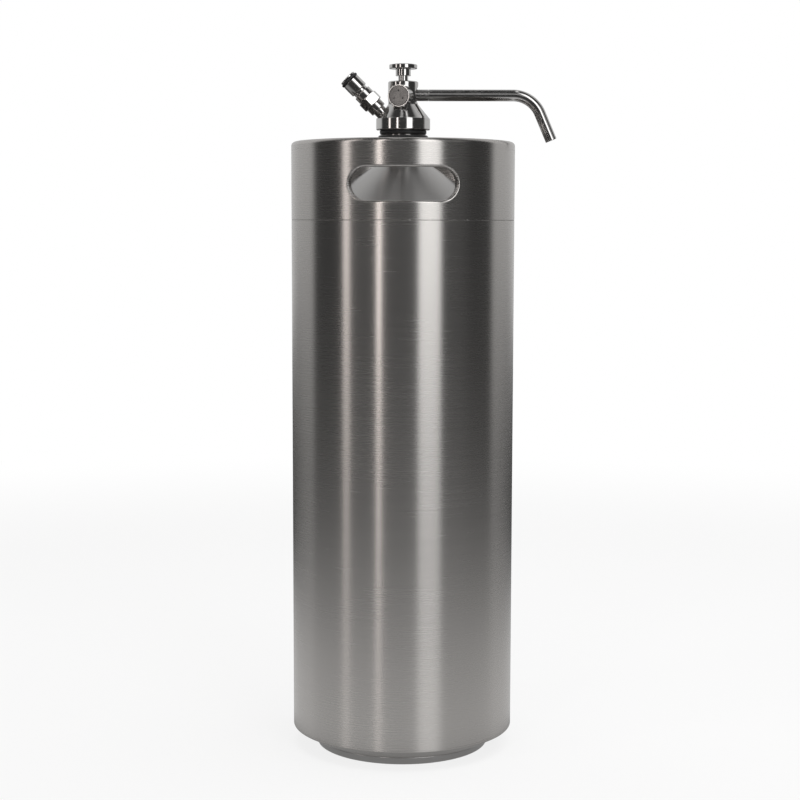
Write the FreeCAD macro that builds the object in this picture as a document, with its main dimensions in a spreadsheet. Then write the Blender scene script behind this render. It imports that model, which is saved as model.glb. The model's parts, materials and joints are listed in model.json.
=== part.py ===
import FreeCAD, Part

import math
import os

import Sketcher

# Mini keg beer dispenser: a single-walled steel keg with a handle collar, closed by a screw-in tap head.
# Millimetres and degrees. The origin lies on the keg's axis at the floor, +Z is up,
# the spout points along +X and the front faces -Y.

# Driving sizes: name, value and what it is
SIZES = [
    ("keg_diameter", 185.0, "outside of the keg and of its handle collar"),
    ("sheet_wall", 1.0, "steel sheet of shell, shoulder and collar"),
    ("seam_height", 442.3, "floor to the seam between shell and collar"),
    ("weld_gap", 0.4, "open groove of that seam"),
    ("collar_height", 63.8, "seam groove to the collar's top"),
    ("collar_round", 7.0, "outer radius at the collar's top"),
    ("collar_lip_width", 12.0, "top of the collar, turned inward"),
    ("collar_lip_turn", 5.0, "inner edge of the collar, turned down"),
    ("collar_lip_round", 2.4, "outer radius of that turned edge"),
    ("handhold_width", 90.0, "width of each handhold"),
    ("handhold_height", 28.7, "height of each handhold"),
    ("handhold_rise", 13.8, "seam groove to the handhold's lower edge"),
    ("handhold_flange", 3.5, "rim of the handhold, turned inward"),
    ("bottom_wall", 1.2, "sheet of the pressed bottom"),
    ("corner_round", 11.0, "outer radius between side and bottom"),
    ("panel_width", 140.0, "width of the raised middle of the bottom"),
    ("panel_rise", 7.4, "rise of that middle"),
    ("panel_run", 12.0, "sloping edge of that middle, measured level"),
    ("foot_radius", 73.6, "outer radius of the foot ring at the floor"),
    ("foot_height", 6.6, "floor to the underside of the bottom"),
    ("foot_taper", 1.6, "how far the foot ring widens upward"),
    ("foot_wall", 1.4, "sheet of the foot ring"),
    ("shoulder_rise", 46.8, "height of the shoulder's cone"),
    ("shoulder_knee", 0.7, "seam to the start of the cone"),
    ("shoulder_skirt", 8.5, "skirt of the shoulder inside the shell"),
    ("sleeve_clearance", 0.05, "gap where one sheet or thread sits inside another"),
    ("neck_radius", 20.0, "outside of the neck"),
    ("neck_bore_radius", 16.3, "threaded bore of the neck"),
    ("neck_rise", 70.8, "seam to the neck's lip"),
    ("neck_root", 5.6, "how far the neck reaches below the shoulder"),
    ("gasket_radius", 19.3, "outside of the neck gasket"),
    ("gasket_thickness", 3.2, "thickness of the neck gasket"),
    ("flange_radius", 22.3, "base flange of the tap head"),
    ("flange_height", 10.0, "height of that flange"),
    ("head_cone_height", 11.1, "cone between flange and barrel"),
    ("barrel_radius", 12.4, "barrel of the tap head"),
    ("barrel_height", 18.7, "height of the barrel"),
    ("edge_chamfer", 0.7, "chamfer of the turned edges"),
    ("plug_radius", 15.4, "threaded plug below the flange"),
    ("plug_length", 17.0, "length of that plug"),
    ("chamber_radius", 6.5, "valve chamber, threaded at its mouth"),
    ("seat_radius", 4.6, "hole of the valve seat"),
    ("seat_thickness", 2.0, "thickness of the valve seat"),
    ("outlet_radius", 5.4, "outlet chamber over the seat"),
    ("outlet_height", 11.0, "height of the outlet chamber"),
    ("gland_radius", 8.0, "threaded hole of the gland"),
    ("gland_height", 5.1, "length of the gland"),
    ("stem_radius", 4.1, "stem of the press valve"),
    ("stem_neck_radius", 2.5, "thin part of the stem"),
    ("stem_neck_top", 8.0, "seat to the shoulder of the stem"),
    ("running_clearance", 0.05, "radial clearance of a moving fit"),
    ("press_travel", 4.0, "how far the knob is pressed"),
    ("knob_gap", 0.6, "gap left under the pressed knob"),
    ("knob_radius", 11.55, "disc of the knob"),
    ("knob_thickness", 4.0, "rim of the disc"),
    ("knob_dome", 1.4, "bevel of the disc's top edge"),
    ("knob_round", 0.5, "bevel of its lower edge"),
    ("hub_radius", 6.2, "hub under the disc"),
    ("hub_height", 4.8, "height of the hub"),
    ("stud_length", 6.0, "threaded end of the stem in the knob"),
    ("seal_gap", 0.1, "gap of a closed seal to its seat"),
    ("seal_radius", 6.1, "valve seal"),
    ("seal_thickness", 2.4, "thickness of the valve seal"),
    ("retainer_radius", 5.9, "plate that carries the valve seal"),
    ("retainer_thickness", 1.8, "thickness of that plate"),
    ("guide_radius", 3.9, "collar of the plate inside the spring"),
    ("guide_length", 2.0, "length of that collar"),
    ("spring_radius", 4.6, "mean radius of the valve spring"),
    ("spring_wire", 1.0, "wire of the valve spring"),
    ("tube_radius", 4.0, "outside of the dip tube"),
    ("tube_bore_radius", 3.2, "bore of the dip tube"),
    ("tube_floor_gap", 6.0, "dip tube's end over the keg's bottom"),
    ("nut_width", 14.0, "dip tube nut across its flats"),
    ("nut_height", 5.0, "height of its hexagon"),
    ("nut_thread_length", 12.7, "length of its thread"),
    ("nut_land", 6.0, "end of the tube's socket in the nut to the nut's top"),
    ("washer_thickness", 1.0, "round face over the hexagon"),
    ("washer_radius", 8.0, "outside of that face"),
    ("gas_tilt", 45.0, "lean of the gas post from upright"),
    ("gas_drop", 3.3, "flange's underside to where the post's axis meets the keg's"),
    ("gas_hole_offset", 11.6, "gas passage from the keg's axis"),
    ("gas_hole_radius", 1.75, "gas passage"),
    ("gas_seat", 24.8, "seat of the adapter, along the post's axis"),
    ("gas_seat_radius", 6.0, "spot face of that seat"),
    ("adapter_thread_radius", 4.2, "adapter's thread in the head"),
    ("adapter_thread_length", 6.2, "length of that thread"),
    ("adapter_neck_radius", 5.25, "neck of the adapter"),
    ("adapter_neck_length", 3.6, "length of that neck"),
    ("adapter_collar_radius", 7.05, "collar of the adapter"),
    ("adapter_collar_length", 5.9, "length of that collar"),
    ("post_thread_radius", 6.0, "adapter's thread in the post"),
    ("post_thread_length", 7.2, "length of that thread"),
    ("spring_well_radius", 3.6, "well of the poppet spring in the adapter"),
    ("spring_well_depth", 5.3, "depth of that well"),
    ("hexagon_width", 16.0, "post across its flats"),
    ("hexagon_length", 8.25, "length of the hexagon"),
    ("hexagon_turn", 11.0, "how far the hexagon is turned about the post"),
    ("land_radius", 7.5, "land between hexagon and locking groove"),
    ("land_length", 5.5, "length of that land"),
    ("lock_radius", 6.2, "floor of the locking groove"),
    ("lock_length", 2.2, "floor width of the locking groove"),
    ("lock_slope", 0.5, "length of each side of the groove"),
    ("post_radius", 7.55, "barrel of the post"),
    ("post_length", 9.9, "length of that barrel"),
    ("ring_groove_radius", 5.7, "floor of the sealing ring's groove"),
    ("ring_groove_length", 2.9, "width of that groove"),
    ("ring_section", 1.2, "radius of the sealing ring's section"),
    ("post_lip_radius", 7.1, "lip at the post's end"),
    ("post_lip_length", 1.4, "length of that lip"),
    ("post_mouth_radius", 3.1, "mouth of the post"),
    ("post_mouth_length", 5.6, "length of the mouth"),
    ("post_cavity_radius", 4.6, "cavity behind the mouth"),
    ("poppet_pin_radius", 1.5, "pin of the gas poppet"),
    ("poppet_pin_recess", 1.0, "pin's end below the post's end"),
    ("poppet_disc_radius", 3.8, "disc of the gas poppet"),
    ("poppet_disc_thickness", 1.2, "thickness of that disc"),
    ("poppet_guide_radius", 2.3, "guide of the poppet in its spring"),
    ("poppet_guide_length", 3.4, "length of that guide"),
    ("poppet_seal_thickness", 2.3, "rubber of the poppet"),
    ("poppet_spring_radius", 3.0, "mean radius of the poppet spring"),
    ("poppet_spring_wire", 0.6, "wire of the poppet spring"),
    ("relief_turn", 13.0, "relief valve's turn from the front towards the gas post"),
    ("relief_drop", 12.5, "barrel's top to the relief valve's axis"),
    ("relief_root", 7.0, "root of the relief boss from the keg's axis"),
    ("relief_root_radius", 10.2, "radius of the boss at its root"),
    ("relief_boss_radius", 9.0, "radius of the boss at its face"),
    ("relief_face", 16.9, "face of the boss from the keg's axis"),
    ("relief_riser", 8.6, "relief passage from the keg's axis"),
    ("relief_riser_radius", 1.1, "relief passage"),
    ("relief_seat", 10.2, "seat of the relief valve from the keg's axis"),
    ("relief_seat_radius", 1.6, "hole of that seat"),
    ("relief_pocket_radius", 5.2, "pocket of the relief poppet"),
    ("relief_cap_radius", 7.4, "threaded hole of the relief cap"),
    ("relief_cap_length", 1.6, "thickness of the relief cap"),
    ("relief_vent_radius", 0.7, "vent holes of the relief cap"),
    ("relief_vent_offset", 4.2, "vent holes from the cap's centre"),
    ("relief_seal_radius", 3.6, "rubber disc of the relief valve"),
    ("relief_seal_thickness", 1.15, "thickness of that disc"),
    ("relief_poppet_radius", 4.4, "disc of the relief poppet"),
    ("relief_poppet_thickness", 1.0, "thickness of that disc"),
    ("relief_pin_radius", 1.3, "pin of the relief poppet"),
    ("relief_pin_length", 1.7, "length of that pin"),
    ("relief_spring_radius", 2.5, "mean radius of the relief spring"),
    ("relief_spring_wire", 0.5, "wire of the relief spring"),
    ("spout_drop", 11.1, "barrel's top to the spout's axis"),
    ("spout_seat", 10.5, "spot face of the spout from the keg's axis"),
    ("spout_seat_radius", 7.5, "radius of that spot face"),
    ("stub_thread_radius", 4.0, "threaded hole of the spout's stub"),
    ("stub_thread_length", 3.8, "length of that thread"),
    ("spout_radius", 4.75, "outside of stub and spout"),
    ("spout_bore_radius", 3.75, "bore of the spout"),
    ("stub_length", 10.3, "stub from its seat to the swivel joint"),
    ("stub_socket_radius", 3.6, "socket of the swivel"),
    ("stub_socket_length", 8.8, "depth of that socket"),
    ("stub_bore_radius", 2.6, "bore of the stub"),
    ("swivel_gap", 0.15, "gap between stub and spout"),
    ("spigot_bore_radius", 2.3, "bore of the spigot"),
    ("spigot_reach", 9.0, "spigot inside the spout"),
    ("spout_bend_start", 90.7, "keg's axis to the spout's bend"),
    ("spout_bend_radius", 24.4, "radius of that bend on its centre line"),
    ("spout_turn", 68.0, "how far the spout turns down"),
    ("spout_end_length", 23.7, "straight end of the spout"),
]

TOLERANCE = 1e-4

# Flat steps of a rounded sheet corner, outside and inside
CORNER_STEPS = 3
INNER_STEPS = 1


class Size:
    """A size with its present value and the sheet expression that gives it."""

    def __init__(self, value, text):
        self.value = value
        self.text = text

    def _with(self, other, sign, value):
        return Size(value, f"({self.text} {sign} {other.text})")

    def __add__(self, other):
        other = as_size(other)
        return self._with(other, "+", self.value + other.value)

    def __sub__(self, other):
        other = as_size(other)
        return self._with(other, "-", self.value - other.value)

    def __mul__(self, other):
        other = as_size(other)
        return self._with(other, "*", self.value * other.value)

    def __truediv__(self, other):
        other = as_size(other)
        return self._with(other, "/", self.value / other.value)

    def __radd__(self, other):
        return as_size(other) + self

    def __rsub__(self, other):
        return as_size(other) - self

    def __rmul__(self, other):
        return as_size(other) * self

    def __neg__(self):
        return Size(-self.value, f"(-1 * {self.text})")


def as_size(number):
    return number if isinstance(number, Size) else Size(number, str(number))


def root_of(size):
    return Size(math.sqrt(size.value), f"sqrt({size.text})")


def sine_of(angle):
    return Size(math.sin(math.radians(angle.value)), f"sin({angle.text})")


def cosine_of(angle):
    return Size(math.cos(math.radians(angle.value)), f"cos({angle.text})")


class Sheet:
    """The document's spreadsheet; each size is read from it by its name."""

    def __init__(self, document, rows):
        cells = document.addObject("Spreadsheet::Sheet", "Sizes")
        for row, (name, value, meaning) in enumerate(rows, 1):
            cells.set(f"A{row}", name)
            cells.set(f"B{row}", str(value))
            cells.set(f"C{row}", meaning)
            cells.setAlias(f"B{row}", name)
        document.recompute()
        for name, value, meaning in rows:
            setattr(self, name, Size(float(getattr(cells, name)), f"Sizes.{name}"))


document = FreeCAD.newDocument("mini_keg_dispenser")
size = Sheet(document, SIZES)
nodes = {}


def bind(thing, **properties):
    """Tie properties of a document object to sizes of the sheet."""
    for name, value in properties.items():
        thing.setExpression(name, as_size(value).text)


def origin_plane(body, role):
    return next(f for f in body.Origin.OriginFeatures if f.Role == role)


def arc_between(start, end, centre):
    """The shorter arc about the centre, and which of its ends (1 or 2) is the start and the end."""
    first = math.atan2(start[1] - centre[1], start[0] - centre[0])
    last = math.atan2(end[1] - centre[1], end[0] - centre[0])
    radius = math.dist(start, centre)
    circle = Part.Circle(FreeCAD.Vector(*centre, 0), FreeCAD.Vector(0, 0, 1), radius)
    if (last - first) % (2 * math.pi) < math.pi:
        return Part.ArcOfCircle(circle, first, last), 1, 2
    return Part.ArcOfCircle(circle, last, first), 2, 1


def outline(body, name, corners, closed=True, plane="XZ_Plane"):
    """A fully constrained sketch through corners (across, up), in sizes.

    A corner that an arc leads to also has the arc's centre: (across, up, centre across, centre up).
    """
    sketch = body.newObject("Sketcher::SketchObject", name)
    sketch.AttachmentSupport = (origin_plane(body, plane), [""])
    sketch.MapMode = "FlatFace"
    corners = [tuple(as_size(v) for v in corner) for corner in corners]
    spots = [(corner[0].value, corner[1].value) for corner in corners]
    count = len(corners)
    pieces = []
    for number in range(count if closed else count - 1):
        after = (number + 1) % count
        centre = corners[after][2:]
        if centre:
            middle = (centre[0].value, centre[1].value)
            shape, start, end = arc_between(spots[number], spots[after], middle)
        else:
            shape = Part.LineSegment(
                FreeCAD.Vector(*spots[number], 0), FreeCAD.Vector(*spots[after], 0)
            )
            start, end = 1, 2
        pieces.append((sketch.addGeometry(shape, False), start, end, centre))

    def hold(piece, point, across, up):
        for kind, axis, value in (("DistanceX", -2, across), ("DistanceY", -1, up)):
            if value is None:
                continue
            if abs(value.value) < TOLERANCE:
                sketch.addConstraint(Sketcher.Constraint("PointOnObject", piece, point, axis))
                continue
            index = sketch.addConstraint(
                Sketcher.Constraint(kind, -1, 1, piece, point, value.value)
            )
            sketch.setExpression(f"Constraints[{index}]", value.text)

    for number, (piece, start, end, centre) in enumerate(pieces):
        if closed or number:
            before, _, before_end, arc = pieces[number - 1]
            sketch.addConstraint(
                Sketcher.Constraint("Coincident", before, before_end, piece, start)
            )
        else:
            arc = ()
        across, up = corners[number][:2]
        if arc:
            across, up = free_end(across, up, arc)
        hold(piece, start, across, up)
        if centre:
            hold(piece, 3, *centre)
    if not closed:
        piece, _, end, arc = pieces[-1]
        across, up = corners[-1][:2]
        if arc:
            across, up = free_end(across, up, arc)
        hold(piece, end, across, up)
    return sketch


def free_end(across, up, centre):
    """An arc's end is held one way only, along the arc, because its radius holds it the other way."""
    if abs(across.value - centre[0].value) > abs(up.value - centre[1].value):
        return None, up
    return across, None


def new_body(label):
    body = document.addObject("PartDesign::Body", label)
    body.Label = label
    return body


def turned(label, corners):
    """A body of revolution about its own Z axis, from an outline of (radius, height)."""
    body = new_body(label)
    sketch = outline(body, label + "_outline", corners)
    feature = body.newObject("PartDesign::Revolution", label + "_turn")
    feature.Profile = sketch
    feature.ReferenceAxis = (sketch, ["V_Axis"])
    feature.Angle = 360
    body.Tip = feature
    return body


def padded_both_ways(label, corners, length):
    """An outline on the XZ plane, padded along Y to both sides of it."""
    body = new_body(label)
    sketch = outline(body, label + "_outline", corners)
    feature = body.newObject("PartDesign::Pad", label + "_pad")
    feature.Profile = sketch
    feature.Midplane = True
    bind(feature, Length=length)
    body.Tip = feature
    return body


def cylinder(label, radius, length):
    rod = document.addObject("Part::Cylinder", label)
    bind(rod, Radius=radius, Height=length)
    return rod


def hexagon(label, width, length):
    prism = document.addObject("Part::Prism", label)
    prism.Polygon = 6
    bind(prism, Circumradius=width / root_of(as_size(3)), Height=length)
    return prism


def joined(label, *pieces):
    whole = document.addObject("Part::MultiFuse", label)
    whole.Shapes = list(pieces)
    return whole


def cut(label, base, *tools):
    """The base less the tools."""
    result = document.addObject("Part::Cut", label)
    result.Base = base
    result.Tool = tools[0] if len(tools) == 1 else joined(label + "_tools", *tools)
    return result


def common(label, first, second):
    result = document.addObject("Part::Common", label)
    result.Base = first
    result.Tool = second
    return result


def raised(thing, height):
    """Lift an upright piece, keeping its height tied to the sheet."""
    bind(thing, **{"Placement.Base.z": height})
    return thing


def placed(thing, frame, along=0, across=0, turn=0):
    """Set a piece in a frame: along its axis, and aside from it at a turn in degrees about it."""
    spin = FreeCAD.Rotation(FreeCAD.Vector(0, 0, 1), as_size(turn).value)
    aside = spin.multVec(FreeCAD.Vector(as_size(across).value, 0, 0))
    step = aside + FreeCAD.Vector(0, 0, as_size(along).value)
    thing.Placement = frame * FreeCAD.Placement(step, spin)
    return thing


def keep(name, thing):
    """Count a finished piece among the dispenser's nodes."""
    thing.Label = name
    nodes[name] = thing
    return thing


# Heights and radii that several pieces share
keg_radius = size.keg_diameter / 2
shell_inside = keg_radius - size.sheet_wall
collar_bottom = size.seam_height + size.weld_gap
collar_top = collar_bottom + size.collar_height
underside = size.foot_height
lip_top = size.seam_height + size.neck_rise
flange_bottom = lip_top + size.gasket_thickness
flange_top = flange_bottom + size.flange_height
barrel_bottom = flange_top + size.head_cone_height
barrel_top = barrel_bottom + size.barrel_height
plug_bottom = flange_bottom - size.plug_length
gland_bottom = barrel_top - size.gland_height
seat_top = gland_bottom - size.outlet_height
seat_bottom = seat_top - size.seat_thickness
spout_height = barrel_top - size.spout_drop
relief_height = barrel_top - size.relief_drop
gas_origin = flange_bottom - size.gas_drop

# Frames of the leaning and lying groups: each one's own Z axis runs along the piece
SPOUT_FRAME = FreeCAD.Placement(
    FreeCAD.Vector(0, 0, spout_height.value),
    FreeCAD.Rotation(FreeCAD.Vector(0, 1, 0), 90),
)
GAS_FRAME = FreeCAD.Placement(
    FreeCAD.Vector(0, 0, gas_origin.value),
    FreeCAD.Rotation(FreeCAD.Vector(0, -1, 0), size.gas_tilt.value),
)
RELIEF_FRAME = FreeCAD.Placement(
    FreeCAD.Vector(0, 0, relief_height.value),
    FreeCAD.Rotation(FreeCAD.Vector(0, 0, -1), size.relief_turn.value).multiply(
        FreeCAD.Rotation(FreeCAD.Vector(1, 0, 0), 90)
    ),
)


def eased(across, up, radius, first, last, steps):
    """Corners along a round about (across, up), from one angle to another, in a few flat steps."""
    corners = []
    for step in range(steps + 1):
        angle = math.radians(first + (last - first) * step / steps)
        corners.append((across + radius * math.cos(angle), up + radius * math.sin(angle)))
    return corners


# Keg: shell, bottom, foot ring, shoulder, neck and handle collar

def keg_shell():
    low = underside + size.corner_round
    return turned("keg_shell", [
        (shell_inside, low),
        (keg_radius, low),
        (keg_radius, size.seam_height),
        (shell_inside, size.seam_height),
    ])


def keg_bottom():
    wall = size.bottom_wall
    corner_across = keg_radius - size.corner_round
    corner_up = underside + size.corner_round
    panel_foot = size.panel_width / 2
    panel_top = underside + size.panel_rise
    inner_round = size.corner_round - wall
    return turned("keg_bottom", [
        (0, panel_top),
        (panel_foot - size.panel_run, panel_top),
        (panel_foot, underside),
        *eased(corner_across, corner_up, size.corner_round, -90, 0, CORNER_STEPS),
        (keg_radius - wall, corner_up),
        *eased(corner_across, corner_up, inner_round, 0, -90, INNER_STEPS)[1:],
        (panel_foot, underside + wall),
        (panel_foot - size.panel_run, panel_top + wall),
        (0, panel_top + wall),
    ])


def foot_ring():
    wide = size.foot_radius + size.foot_taper
    return turned("foot_ring", [
        (size.foot_radius - size.foot_wall, 0),
        (size.foot_radius, 0),
        (wide, underside),
        (wide - size.foot_wall, underside),
    ])


def keg_shoulder():
    skirt = shell_inside - size.sleeve_clearance
    knee = size.seam_height + size.shoulder_knee
    hole = size.neck_radius + size.sleeve_clearance
    slope = size.shoulder_rise / (skirt - hole)
    drop = size.sheet_wall * root_of(1 + slope * slope)
    top = knee + size.shoulder_rise
    low = size.seam_height - size.shoulder_skirt
    inner = skirt - size.sheet_wall
    return turned("keg_shoulder", [
        (inner, low),
        (skirt, low),
        (skirt, knee),
        (hole, top),
        (hole, top - drop),
        (inner, knee + slope * size.sheet_wall - drop),
    ])


def keg_neck():
    foot = size.seam_height + size.shoulder_knee + size.shoulder_rise - size.neck_root
    chamfer = size.edge_chamfer
    return turned("keg_neck", [
        (size.neck_bore_radius, foot),
        (size.neck_radius, foot),
        (size.neck_radius, lip_top - chamfer),
        (size.neck_radius - chamfer, lip_top),
        (size.neck_bore_radius, lip_top),
    ])


def long_hole(label, half_width, half_height, middle):
    """A tool for a long hole with full-round ends, through the keg from front to back."""
    straight = half_width - half_height
    low = middle - half_height
    high = middle + half_height
    return padded_both_ways(label, [
        (-straight, low, -straight, middle),
        (straight, low),
        (straight + half_height, middle, straight, middle),
        (straight, high, straight, middle),
        (-straight, high),
        (-straight - half_height, middle, -straight, middle),
    ], size.keg_diameter * 1.1)


def handle_collar():
    wall = size.sheet_wall
    lip = keg_radius - size.collar_lip_width
    turned_low = collar_top - size.collar_lip_turn
    outer = size.collar_round
    lip_round = size.collar_lip_round
    ring = turned("collar_ring", [
        (keg_radius, collar_bottom),
        *eased(keg_radius - outer, collar_top - outer, outer, 0, 90, CORNER_STEPS),
        *eased(lip + lip_round, collar_top - lip_round, lip_round, 90, 180, 1),
        (lip, turned_low),
        (lip + wall, turned_low),
        (lip + wall, collar_top - lip_round),
        (lip + lip_round, collar_top - wall),
        *eased(keg_radius - outer, collar_top - outer, outer - wall, 90, 0, INNER_STEPS),
        (shell_inside, collar_bottom),
    ])

    half_width = size.handhold_width / 2
    half_height = size.handhold_height / 2
    middle = collar_bottom + size.handhold_rise + half_height
    hole = long_hole("handhold", half_width, half_height, middle)
    rim = long_hole("handhold_rim", half_width + wall, half_height + wall, middle)
    band = cut(
        "rim_band",
        cylinder("rim_outside", shell_inside, collar_top),
        cylinder("rim_inside", shell_inside - size.handhold_flange, collar_top),
    )
    flanges = common("handhold_flanges", band, rim)
    return cut("handle_collar", joined("collar_with_flanges", ring, flanges), hole)


# Tap head: gasket, body and what is screwed into it from above and below

def neck_gasket():
    inside = size.neck_bore_radius + size.running_clearance * 2
    return turned("neck_gasket", [
        (inside, lip_top),
        (size.gasket_radius, lip_top),
        (size.gasket_radius, flange_bottom),
        (inside, flange_bottom),
    ])


def tap_body():
    chamfer = size.edge_chamfer
    outside = turned("tap_outside", [
        (0, plug_bottom),
        (size.plug_radius, plug_bottom),
        (size.plug_radius, flange_bottom),
        (size.flange_radius, flange_bottom),
        (size.flange_radius, flange_top - chamfer),
        (size.flange_radius - chamfer, flange_top),
        (size.barrel_radius, barrel_bottom),
        (size.barrel_radius, barrel_top - chamfer),
        (size.barrel_radius - chamfer, barrel_top),
        (0, barrel_top),
    ])
    boss = turned("relief_boss", [
        (0, size.relief_root),
        (size.relief_root_radius, size.relief_root),
        (size.relief_boss_radius, size.relief_face - chamfer),
        (size.relief_boss_radius - chamfer, size.relief_face),
        (0, size.relief_face),
    ])
    placed(boss, RELIEF_FRAME)
    bores = turned("tap_bores", [
        (0, plug_bottom - chamfer),
        (size.chamber_radius, plug_bottom - chamfer),
        (size.chamber_radius, seat_bottom),
        (size.seat_radius, seat_bottom),
        (size.seat_radius, seat_top),
        (size.outlet_radius, seat_top),
        (size.outlet_radius, gland_bottom),
        (size.gland_radius, gland_bottom),
        (size.gland_radius, barrel_top + chamfer),
        (0, barrel_top + chamfer),
    ])
    return cut(
        "tap_body",
        joined("tap_solid", outside, boss),
        bores,
        *spout_bores(),
        *gas_bores(),
        *relief_bores(),
    )


def spout_bores():
    start = size.outlet_radius / 2
    hole = cylinder("spout_hole", size.stub_thread_radius, size.spout_seat - start + size.edge_chamfer)
    face = cylinder("spout_spot_face", size.spout_seat_radius, size.barrel_radius)
    return placed(hole, SPOUT_FRAME, start), placed(face, SPOUT_FRAME, size.spout_seat)


def gas_bores():
    """The adapter's threaded socket and spot face, and the passage from it down to the keg."""
    bend = size.gas_hole_offset / sine_of(size.gas_tilt)
    socket_end = size.gas_seat - size.adapter_thread_length - size.seal_gap
    socket = cylinder(
        "gas_socket", size.adapter_thread_radius + size.sleeve_clearance, size.gas_seat - socket_end
    )
    face = cylinder("gas_spot_face", size.gas_seat_radius, size.adapter_neck_length)
    slant = cylinder("gas_slant", size.gas_hole_radius, size.gas_seat - bend)
    drop_top = gas_origin + bend * cosine_of(size.gas_tilt)
    drop = cylinder("gas_down", size.gas_hole_radius, drop_top - plug_bottom + size.edge_chamfer)
    drop.Placement.Base.x = -size.gas_hole_offset.value
    raised(drop, plug_bottom - size.edge_chamfer)
    return (
        placed(socket, GAS_FRAME, socket_end),
        placed(face, GAS_FRAME, size.gas_seat),
        placed(slant, GAS_FRAME, bend),
        drop,
    )


def relief_bores():
    """The relief valve's riser from the keg, its seat, its pocket and the thread of its cap."""
    cap_seat = size.relief_face - size.relief_cap_length
    low = plug_bottom - size.edge_chamfer
    riser = cylinder("relief_riser", size.relief_riser_radius, relief_height - low)
    outward = RELIEF_FRAME.Rotation.multVec(FreeCAD.Vector(0, 0, size.relief_riser.value))
    riser.Placement.Base = FreeCAD.Vector(outward.x, outward.y, 0)
    raised(riser, low)
    hole = cylinder("relief_hole", size.relief_seat_radius, size.relief_face - size.relief_riser)
    pocket = cylinder("relief_pocket", size.relief_pocket_radius, size.relief_face - size.relief_seat)
    mouth = cylinder(
        "relief_mouth", size.relief_cap_radius, size.relief_cap_length + size.edge_chamfer
    )
    return (
        riser,
        placed(hole, RELIEF_FRAME, size.relief_riser),
        placed(pocket, RELIEF_FRAME, size.relief_seat),
        placed(mouth, RELIEF_FRAME, cap_seat),
    )


def spring(label, mean_radius, wire, low, high):
    """The space that a helical spring fills between its two seats."""
    return turned(label, [
        (mean_radius - wire / 2, low),
        (mean_radius + wire / 2, low),
        (mean_radius + wire / 2, high),
        (mean_radius - wire / 2, high),
    ])


nut_top = plug_bottom + size.nut_thread_length
tube_top = nut_top - size.nut_land


def dip_tube_nut():
    """The nut that holds the dip tube in the head and carries the valve spring."""
    face_low = plug_bottom - size.washer_thickness
    hex_low = face_low - size.nut_height
    hole = size.tube_radius + size.sleeve_clearance
    thread = turned("nut_thread", [
        (hole, hex_low),
        (size.chamber_radius - size.sleeve_clearance, hex_low),
        (size.chamber_radius - size.sleeve_clearance, face_low),
        (size.washer_radius, face_low),
        (size.washer_radius, plug_bottom),
        (size.chamber_radius - size.sleeve_clearance, plug_bottom),
        (size.chamber_radius - size.sleeve_clearance, nut_top),
        (size.tube_bore_radius, nut_top),
        (size.tube_bore_radius, tube_top),
        (hole, tube_top),
    ])
    head = raised(hexagon("nut_hexagon", size.nut_width, size.nut_height), hex_low)
    through = raised(cylinder("nut_hole", hole, size.nut_height), hex_low)
    return joined("dip_tube_nut", thread, cut("nut_head", head, through))


def dip_tube():
    floor = underside + size.panel_rise + size.bottom_wall
    low = floor + size.tube_floor_gap
    return turned("dip_tube", [
        (size.tube_bore_radius, low),
        (size.tube_radius, low),
        (size.tube_radius, tube_top),
        (size.tube_bore_radius, tube_top),
    ])


def valve_gland():
    hole = size.stem_radius + size.running_clearance
    outside = size.gland_radius - size.sleeve_clearance
    return turned("valve_gland", [
        (hole, gland_bottom),
        (outside, gland_bottom),
        (outside, barrel_top),
        (hole, barrel_top),
    ])


# Press valve: knob, stem, seal, the seal's nut and the spring

knob_bottom = barrel_top + size.press_travel + size.knob_gap
seal_top = seat_bottom - size.seal_gap
seal_bottom = seal_top - size.seal_thickness
retainer_bottom = seal_bottom - size.retainer_thickness
stem_bottom = retainer_bottom - size.guide_length


def press_knob():
    disc_low = knob_bottom + size.hub_height
    disc_high = disc_low + size.knob_thickness
    crowned = disc_high + size.knob_dome
    edge = size.knob_round
    stud_hole = size.stem_neck_radius + size.sleeve_clearance
    hole_top = knob_bottom + size.stud_length + size.seal_gap
    return turned("press_knob", [
        (0, hole_top),
        (stud_hole, hole_top),
        (stud_hole, knob_bottom),
        (size.hub_radius, knob_bottom),
        (size.hub_radius, disc_low),
        (size.knob_radius - edge, disc_low),
        (size.knob_radius, disc_low + edge),
        (size.knob_radius, disc_high),
        (size.knob_radius - size.knob_dome, crowned),
        (0, crowned),
    ])


def valve_stem():
    """The stem, with the plate that carries the seal and the collar that guides the spring."""
    shoulder = seat_top + size.stem_neck_top
    return turned("valve_stem", [
        (0, stem_bottom),
        (size.guide_radius, stem_bottom),
        (size.guide_radius, retainer_bottom),
        (size.retainer_radius, retainer_bottom),
        (size.retainer_radius, seal_bottom),
        (size.stem_neck_radius, seal_bottom),
        (size.stem_neck_radius, shoulder),
        (size.stem_radius, shoulder),
        (size.stem_radius, knob_bottom),
        (size.stem_neck_radius, knob_bottom),
        (size.stem_neck_radius, knob_bottom + size.stud_length),
        (0, knob_bottom + size.stud_length),
    ])


def valve_seal():
    hole = size.stem_neck_radius + size.sleeve_clearance
    return turned("valve_seal", [
        (hole, seal_bottom),
        (size.seal_radius, seal_bottom),
        (size.seal_radius, seal_top),
        (hole, seal_top),
    ])


def valve_spring():
    return spring("valve_spring", size.spring_radius, size.spring_wire, nut_top, retainer_bottom)


# Gas post: adapter, post, rings, poppet and its spring, all along the leaning axis

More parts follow.
